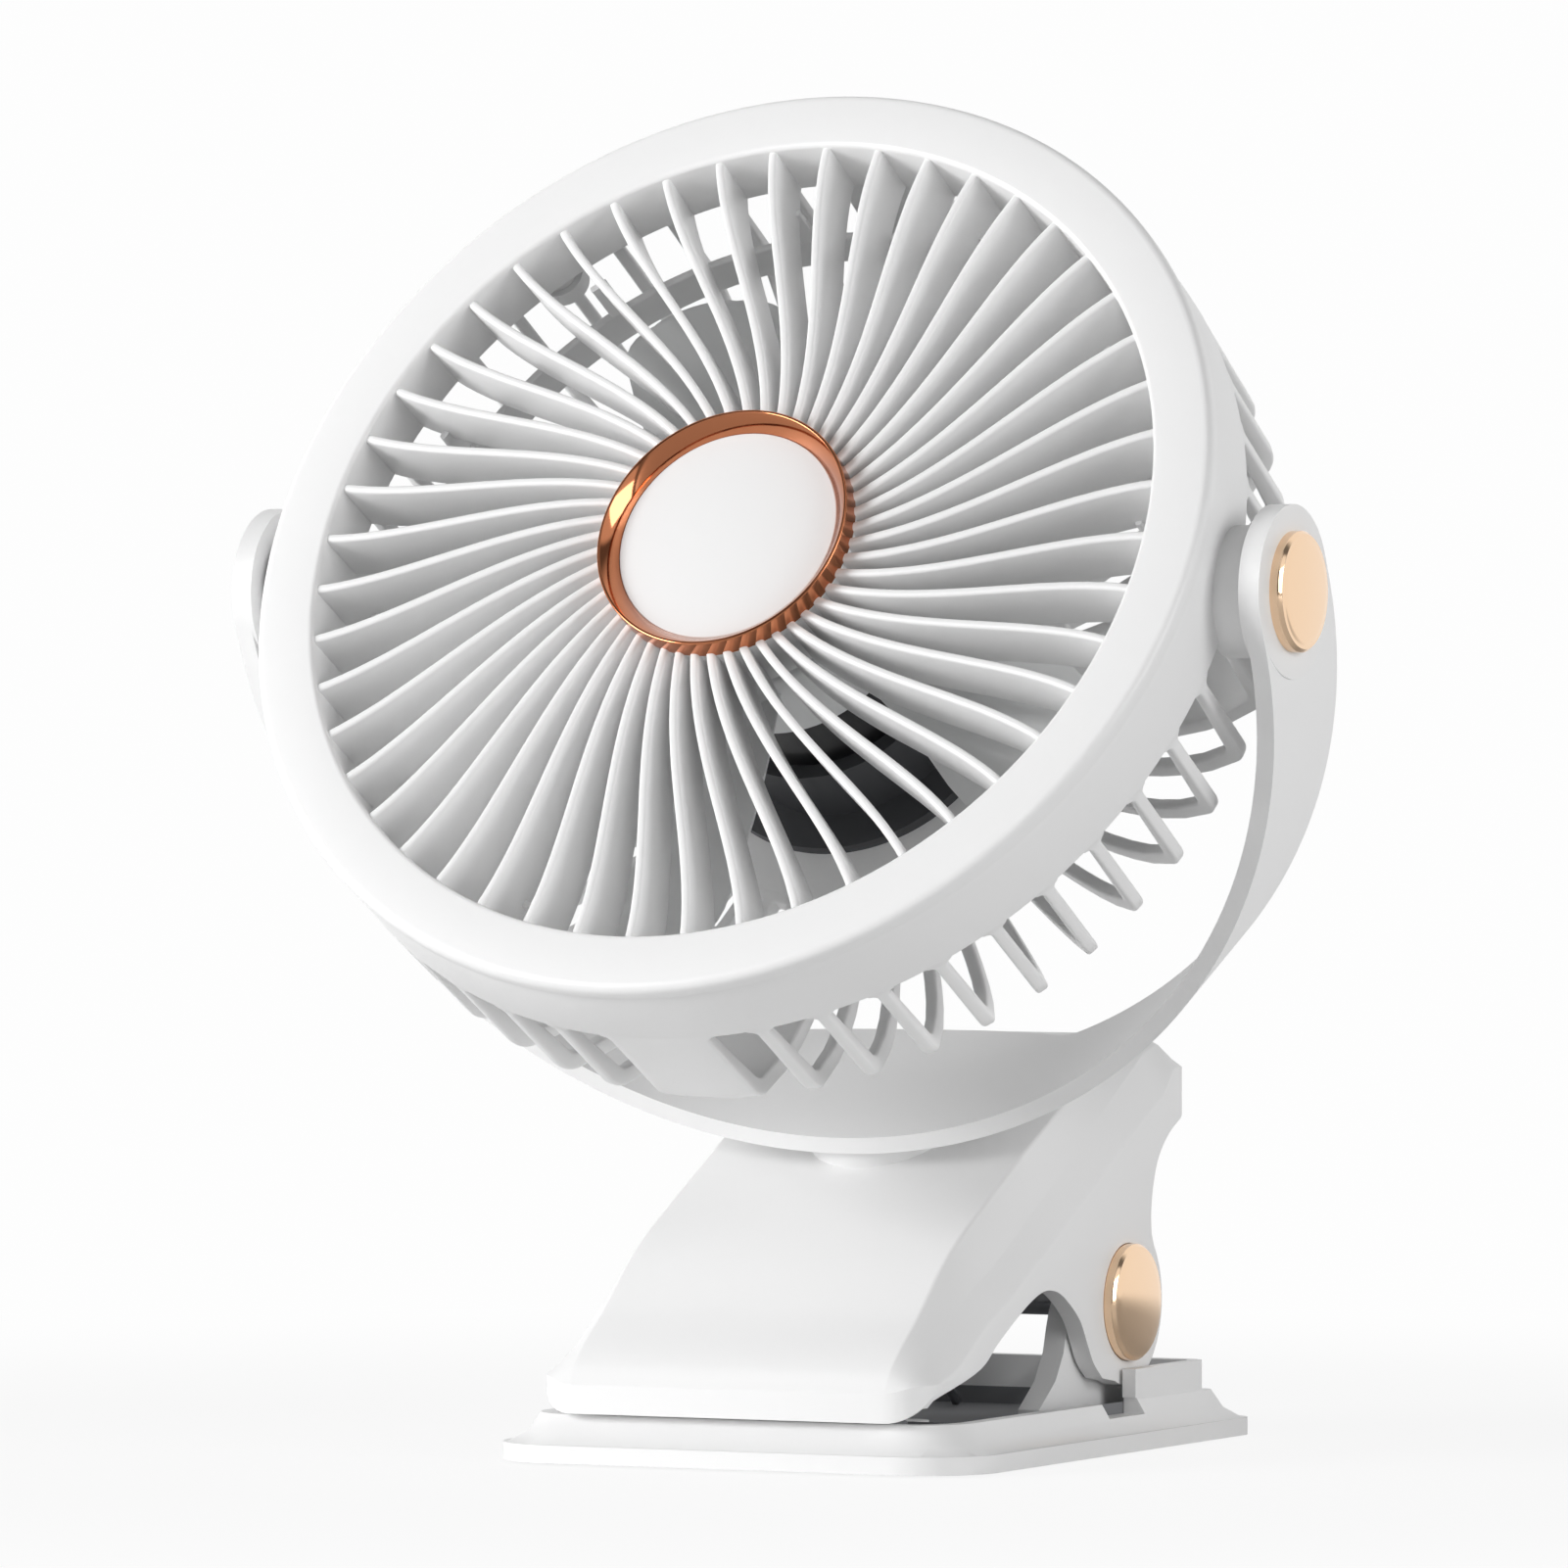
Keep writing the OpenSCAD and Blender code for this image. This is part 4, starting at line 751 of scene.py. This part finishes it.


# Clip. The upper jaw's shell and a dark sheet in the tray are drawn here, and the rest are softened copies.

clip = {"halfWidth": 35, "deckHalf": 28, "ridge": 3.5, "wall": 2.4, "wallInner": 31.9, "lip": -54.5,
        "lever": 48, "deckAt": (4.13, 50.93), "deckSlope": 25, "lipRound": 7.5, "rearRound": 2.8,
        "underRound": 7, "lipZ": 8.3, "shellEdge": 0.6, "ridgeRound": 0.9, "floorFront": 12.4,
        "floorRear": 37.3, "backWall": 31.2, "ear": 13.7, "capFloor": 34.4, "capFace": 37.7,
        "tray": (35.5, -38.4, 47.4, 4.42, 7.6), "sheetThickness": 0.35, "sheetFrontRound": 1, "sheetRearRound": 0.9}


def deckHeight(y):
    return clip["deckAt"][1] + (y - clip["deckAt"][0]) * math.tan(math.radians(clip["deckSlope"]))


def jawHeights():
    # (place along the jaw, deck height, height of the ridge below it, height of the side's top)
    lip = clip["lip"]
    return [(lip - 1, 11.6, 11.3, 11), (lip, 13, 12.5, 12), (lip + 2, 16.3, 14.6, 13),
            (lip + 12.5, 24.6, 20.3, 16.4), (lip + 23, 33.2, 27.2, 22.4), (-22, deckHeight(-22), 31.2, 26.6),
            (33, deckHeight(33), 61.4, 54.9), (38.5, 66.2, 64.2, 57.6), (43.4, 67.2, 65.4, 61.6),
            (46.6, 64.2, 63.4, 61.6), (49, 57.6, 57.4, 57.2)]


def columnSlope(table, k, c):
    # the slope of column c at row k that doesn't overshoot
    before = (table[k][c] - table[k - 1][c]) / (table[k][0] - table[k - 1][0]) if k else None
    after = (table[k + 1][c] - table[k][c]) / (table[k + 1][0] - table[k][0]) if k + 1 < len(table) else None
    if before is None or after is None:
        return before if after is None else after
    return 0 if before * after <= 0 else 2 * before * after / (before + after)


def smoothThrough(table, places):
    # a smooth curve through each column of the table
    rows = []
    for y in places:
        k = max(i for i in range(len(table) - 1) if table[i][0] <= y + 1e-9)
        width = table[k + 1][0] - table[k][0]
        t = (y - table[k][0]) / width
        row = []
        for c in range(1, len(table[0])):
            a, b = table[k][c], table[k + 1][c]
            sa, sb = columnSlope(table, k, c) * width, columnSlope(table, k + 1, c) * width
            row.append(a * (2 * t ** 3 - 3 * t ** 2 + 1) + sa * (t ** 3 - 2 * t ** 2 + t)
                       + b * (3 * t ** 2 - 2 * t ** 3) + sb * (t ** 3 - t ** 2))
        rows.append((y, row))
    return rows


def jawForm(name, inset):
    # the upper jaw's outside, or its inside when inset is the wall
    c = clip
    places = [c["lip"] - 1, c["lip"]] + [c["lip"] + 0.5 * k for k in range(1, 9)]
    places += [c["lip"] + 4 + 1.5 * k for k in range(1, 22)] + [-12, 0, 12, 24, 30]
    places += [33 + k for k in range(17)]
    drop = inset / math.cos(math.radians(c["deckSlope"]))
    sections = []
    for y, (top, mid, low) in smoothThrough(jawHeights(), places):
        w1, w3 = c["deckHalf"] - inset * 0.55, c["halfWidth"] - inset
        w2 = c["deckHalf"] + c["ridge"] - inset * 0.8
        corners = [(-w3, -5), (w3, -5), (w3, low - drop * 0.5, c["ridgeRound"]), (w2, mid - drop * 0.8, 0.5),
                   (w1, top - drop, c["ridgeRound"]), (-w1, top - drop, c["ridgeRound"]),
                   (-w2, mid - drop * 0.8, 0.5), (-w3, low - drop * 0.5, c["ridgeRound"])]
        sections.append([(x, y, z) for x, z in roundCorners(corners, 3)])
    return loftedForm(name, sections)


def sidePrism(name, outline, x0, x1):
    return loftedForm(name, [[(x, y, z) for y, z in outline] for x in (x0, x1)])


def planPrism(name, outline, z0, z1):
    return loftedForm(name, [[(x, y, z) for x, y in outline] for z in (z0, z1)])


def sideOutline():
    # the upper jaw seen from its side: arch over the mouth, ear round the hinge pin, back, and open above
    lip, hingeY, hingeZ, ear = clip["lip"], hinge.y, hinge.z, clip["ear"]
    arch = curveThrough([
        (lip + 3.5, 10.8), (lip + 7.5, 12.4), (lip + 21.5, 16), (hingeY - 50.7, 19.6), (hingeY - 41.5, 24.2),
        (hingeY - 35, 26.7), (hingeY - 30.3, 27.2), (hingeY - 25.3, 25.9), (hingeY - 19.2, 22),
        (hingeY - 16.1, 17.9), (hingeY - 13.6, 14.5), (hingeY - 10, 11.8)], 5)
    roundEar = [(hingeY + ear * math.cos(math.radians(a)), hingeZ + ear * math.sin(math.radians(a)))
                for a in range(-112, 41, 4)]
    back = curveThrough([(33.6, 34.5), (33.4, 38.2), (34.4, 43), (36.6, 47.3), (40.7, 50.9), (46.2, 53.7),
                         (50.4, 56.6)], 5)
    return ([(lip - 2, clip["lipZ"]), (lip + 1, clip["lipZ"])] + arch + roundEar + back
            + [(51, 90), (lip - 2, 90)])


def underCorner(side):
    # what rounds the lip's lower edge takes away on one side
    wide, under, lip, z = clip["halfWidth"], clip["underRound"], clip["lip"], clip["lipZ"]
    curve = [(side * (wide - under + under * math.cos(math.radians(a))),
              z + under + under * math.sin(math.radians(a))) for a in range(-90, 1, 6)]
    corner = curve + [(side * (wide + 2), z + under), (side * (wide + 2), 0), (side * (wide - under), 0)]
    return loftedForm("underCorner", [[(x, y, z) for x, z in corner] for y in (lip - 2, lip + 24)])


def makeShell():
    c = clip
    lip, wide, front, rear, back = c["lip"], c["halfWidth"], c["floorFront"], c["floorRear"], c["backWall"]
    plan = planPrism("plan", roundCorners([
        (-wide, lip, c["lipRound"]), (wide, lip, c["lipRound"]), (wide, c["lever"], c["rearRound"]),
        (-wide, c["lever"], c["rearRound"])], 10), -20, 100)
    side = sidePrism("side", sideOutline(), -wide - 2, wide + 2)
    inner = jawForm("inner", c["wall"])
    room = sidePrism("room", [
        (lip, front), (-46.35, front), (7.05, rear), (back, rear), (back, 43.5), (34, 49.5), (38.5, 53.5),
        (43.5, 56), (45.5, 58), (45.5, 80), (lip, 80)], -c["wallInner"], c["wallInner"])
    inside = carved("inside", inner, [("INTERSECT", room)])
    below = sidePrism("below", [
        (lip + 3, -9), (lip + 3, front), (-46.8, front), (6.6, rear), (back, rear), (back, 34.8), (60, 34.8),
        (60, -9)], -c["wallInner"], c["wallInner"])
    steps = [("INTERSECT", plan), ("INTERSECT", side), ("DIFFERENCE", inside), ("DIFFERENCE", below)]
    steps += [("DIFFERENCE", underCorner(s)) for s in (1, -1)]
    for s in (1, -1):
        place = Matrix.Translation(hinge) @ towardsSide(s)
        steps.append(("DIFFERENCE", capSeat(place, c["capFloor"], 40, 96)))
        sideName = "Right" if s > 0 else "Left"
        metalCap("hingeCap" + sideName, place, c["capFloor"], c["capFace"], "hinge_cap_" + sideName.lower(),
                 "clamp")
    finishPiece("clampShell", carved("clampShell", jawForm("shell", 0), steps), "clamp", "white_plastic",
                ["clamp_shell"], sharp=35, bevel=c["shellEdge"], bevelSteps=3)


def makeTrayDarkSheet():
    # a thin dark grey sheet laid in the lower jaw's tray behind its grip pad, which darkens the tray's inside
    c = clip
    half, front, rear, low, top = c["tray"]
    plans = []
    for inset, z in ((0, low), (0, top), (c["sheetThickness"], top), (c["sheetThickness"], low + c["sheetThickness"])):
        side = half - inset
        outline = roundCorners([
            (-side, front + inset, c["sheetFrontRound"]), (side, front + inset, c["sheetFrontRound"]),
            (side, rear - inset, c["sheetRearRound"]), (-side, rear - inset, c["sheetRearRound"])], 6)
        plans.append([(x, y, z) for x, y in outline])
    finishPiece("trayDarkSheet", loftedForm("trayDarkSheet", plans), "base", "grey_rubber", sharp=35)


# softened copies: (piece, node, body, slot, width of its softened edges)
softened = [("clampUnderside", "clamp_underside", "clamp", "white_plastic", 0.3),
            ("upperGripPad", "upper_grip_pad", "clamp", "grey_rubber", 0.5),
            ("batteryPack", "battery_pack", "clamp", "battery_wrap", 1.2),
            ("circuitBoard", "circuit_board", "clamp", "board_green", 0.1),
            ("usbSocket", "usb_socket", "clamp", "socket_steel", 0.1),
            ("powerSwitch", "power_switch", "clamp", "black_plastic", 0.2),
            ("powerButton", "power_button", "button", "grey_plastic", 0.35),
            ("basePlate", "base_plate", "base", "white_plastic", 0.45),
            ("bottomCover", "bottom_cover", "base", "white_plastic", 0.3),
            ("footPad", "foot_pad", "base", "grey_rubber", 0.3),
            ("lowerGripPad", "lower_grip_pad", "base", "grey_rubber", 0.5)]

makeShell()
makeTrayDarkSheet()
for name, node, body, slot, width in softened:
    finishPiece(name, nodeCopy(node), body, slot, [node], sharp=30, bevel=width)
print("clip made")


# Torsion spring: a coil on the hinge pin with two arms that leave it at a tangent

spring = {"coil": 4.6, "turns": 4, "wire": 0.9, "upperEnd": (8, 10.5), "lowerEnd": (17, -18.4),
          "pitch": 2.1, "stepsInTurn": 28, "sides": 12, "blendShare": 0.9}


def springPath():
    # from the end of the lower arm to that of the upper one, about the hinge
    c = spring
    (upperY, upperZ), (lowerY, lowerZ) = c["upperEnd"], c["lowerEnd"]
    upper = math.atan2(upperZ, upperY) + math.acos(c["coil"] / math.hypot(upperY, upperZ))
    lower = math.atan2(lowerZ, lowerY) - math.acos(c["coil"] / math.hypot(lowerY, lowerZ))
    sweep = 2 * math.pi * (c["turns"] + 1) - (upper - lower)
    steps = c["stepsInTurn"] * (c["turns"] + 1)
    span = c["pitch"] * c["wire"] * sweep / (2 * math.pi)
    path = [(-span / 2, lowerY, lowerZ)]
    for i in range(steps + 1):
        angle = lower - sweep * i / steps
        path.append((span * (i / steps - 0.5), c["coil"] * math.cos(angle), c["coil"] * math.sin(angle)))
    return path + [(span / 2, upperY, upperZ)]


def makeSpring():
    path = springPath()
    curve = bpy.data.curves.new("springPath", "CURVE")
    curve.dimensions = "3D"
    line = curve.splines.new("POLY")
    line.points.add(len(path) - 1)
    for point, place in zip(line.points, path):
        point.co = tuple((hinge + Vector(place)) * 0.001) + (1,)
    mesh = runTree("wire", linkObject("springPath", curve), wireTree, {
        "Radius": spring["wire"] * 0.001, "Sides": spring["sides"], "Material": finishes["spring_steel"]})
    mesh.shade_smooth()
    mesh.set_sharp_from_angle(angle=math.radians(50))
    piece = linkObject("torsionSpring", mesh)
    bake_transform(piece)
    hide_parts("clamp_spring")


makeSpring()
print("spring made")


# Every frame node gets its finish, and those that no piece replaces show it

slots = {part["node"]: part["material_slot"] for part in frame["record"]["subparts"]}
for node, obj in frame["nodes"].items():
    obj.data.materials.clear()
    obj.data.materials.append(finishes[slots[node]])
print("frame nodes finished")


# Light and floor

studio = {"worldLow": 0.36, "worldHigh": 0.16, "seenWhite": 0.985, "key": 22.5, "side": 9.2, "floorHalf": 6,
          "floorWhite": 0.9, "shadowFrom": 0.14, "shadowTo": 0.4, "roomDark": 0.16, "roomEdge": -0.1,
          "backdropEdge": 0.25}
backdropWay = (-0.4376, 0.8992, 0.0)   # towards the white backdrop, behind the object
# bright panels in the room, for reflections only: (direction, cosine at the edge, cosine inside, strength)
panels = [((-1, -1, 0.35), 0.86, 0.93, 0.8), ((1, -0.3, 0.35), 0.84, 0.9, 0.8),
          ((0.15, -0.55, 0.9), 0.93, 0.95, 0.7)]


def addLight(name, place, aim, energy, size):
    data = bpy.data.lights.new(name, "AREA")
    data.energy, data.size = energy, size
    light = bpy.data.objects.new(name, data)
    scene.collection.objects.link(light)
    light.location = place
    light.rotation_euler = (Vector(place) - Vector(aim)).to_track_quat("Z", "Y").to_euler()


def easedNode(tree, value, fromMin, fromMax, toMin, toMax):
    return addNode(tree, "ShaderNodeMapRange", {"interpolation_type": "SMOOTHSTEP"}, {
        "Value": value, "From Min": fromMin, "From Max": fromMax,
        "To Min": toMin, "To Max": toMax}).outputs[0]


def dotNode(tree, value, direction):
    return addNode(tree, "ShaderNodeVectorMath", {"operation": "DOT_PRODUCT"},
                   {0: value, 1: direction}).outputs["Value"]


def mixByRay(tree, label, others, seen):
    # what rays of one kind see, and what every other ray gets
    path = addNode(tree, "ShaderNodeLightPath")
    mix = addNode(tree, "ShaderNodeMixShader", None, {0: path.outputs[label], 1: others, 2: seen})
    return mix.outputs[0]


def addWorld():
    world = bpy.data.worlds.new("studio")
    scene.world = world
    world.use_nodes = True
    tree = world.node_tree
    soft = tree.nodes["Background"]
    way = addNode(tree, "ShaderNodeTexCoord").outputs["Generated"]
    height = addNode(tree, "ShaderNodeSeparateXYZ", None, {"Vector": way}).outputs["Z"]
    fall = addNode(tree, "ShaderNodeMapRange", None, {
        "Value": height, "From Min": 0.05, "From Max": 0.8,
        "To Min": studio["worldLow"], "To Max": studio["worldHigh"]})
    soft.inputs["Color"].default_value = (1, 1, 1, 1)
    tree.links.new(fall.outputs[0], soft.inputs["Strength"])
    # metal mirrors the white backdrop, and the darker room on the other side
    level = easedNode(tree, dotNode(tree, way, backdropWay), studio["roomEdge"], studio["backdropEdge"],
                      studio["roomDark"], studio["seenWhite"])
    for direction, edge, inside, strength in panels:
        near = dotNode(tree, way, Vector(direction).normalized())
        level = mathNode(tree, "ADD", easedNode(tree, near, edge, inside, 0.0, strength), level)
    mirrored = addNode(tree, "ShaderNodeBackground", None,
                       {"Color": (1, 1, 1, 1), "Strength": level}).outputs[0]
    white = addNode(tree, "ShaderNodeBackground", None,
                    {"Color": (1, 1, 1, 1), "Strength": studio["seenWhite"]}).outputs[0]
    result = mixByRay(tree, "Is Glossy Ray", soft.outputs[0], mirrored)
    result = mixByRay(tree, "Is Transmission Ray", result, white)
    result = mixByRay(tree, "Is Camera Ray", result, white)
    tree.links.new(result, tree.nodes["World Output"].inputs["Surface"])


def addFloor():
    # pale paint that keeps the object's shadow near it, and is the backdrop's white further out
    half = studio["floorHalf"]
    mesh = bpy.data.meshes.new("floor")
    corners = [(-half, -half, 0), (half, -half, 0), (half, half, 0), (-half, half, 0)]
    mesh.from_pydata(corners, [], [(0, 1, 2, 3)])
    floor = linkObject("floor", mesh)
    material = bpy.data.materials.new("paleFloorPaint")
    material.use_nodes = True
    tree = material.node_tree
    shader = tree.nodes["Principled BSDF"]
    shader.inputs["Base Color"].default_value = srgb("#F6F6F6")
    shader.inputs["Roughness"].default_value = 0.9
    white = addNode(tree, "ShaderNodeEmission", None,
                    {"Color": (1, 1, 1, 1), "Strength": studio["seenWhite"]}).outputs[0]
    place = addNode(tree, "ShaderNodeTexCoord").outputs["Object"]
    away = addNode(tree, "ShaderNodeVectorMath", {"operation": "LENGTH"}, {0: place}).outputs["Value"]
    behind = dotNode(tree, place, backdropWay)   # reflections see it white on the backdrop's side only
    result = shader.outputs[0]
    for label, distance, least in (("Is Glossy Ray", behind, 0.0),
                                   ("Is Transmission Ray", away, studio["floorWhite"]),
                                   ("Is Camera Ray", away, studio["floorWhite"])):
        amount = easedNode(tree, distance, studio["shadowFrom"], studio["shadowTo"], least, 1.0)
        shown = addNode(tree, "ShaderNodeMixShader", None, {0: amount, 1: shader.outputs[0], 2: white})
        result = mixByRay(tree, label, result, shown.outputs[0])
    tree.links.new(result, tree.nodes["Material Output"].inputs["Surface"])
    mesh.materials.append(material)


addWorld()
addFloor()
addLight("key", (-1.12, -1.12, 0.5), (0, 0, 0.12), studio["key"], 0.7)
addLight("side", (1.5, -0.35, 0.5), (0, 0, 0.1), studio["side"], 0.8)
scene.view_settings.view_transform = "Standard"
print("studio made")
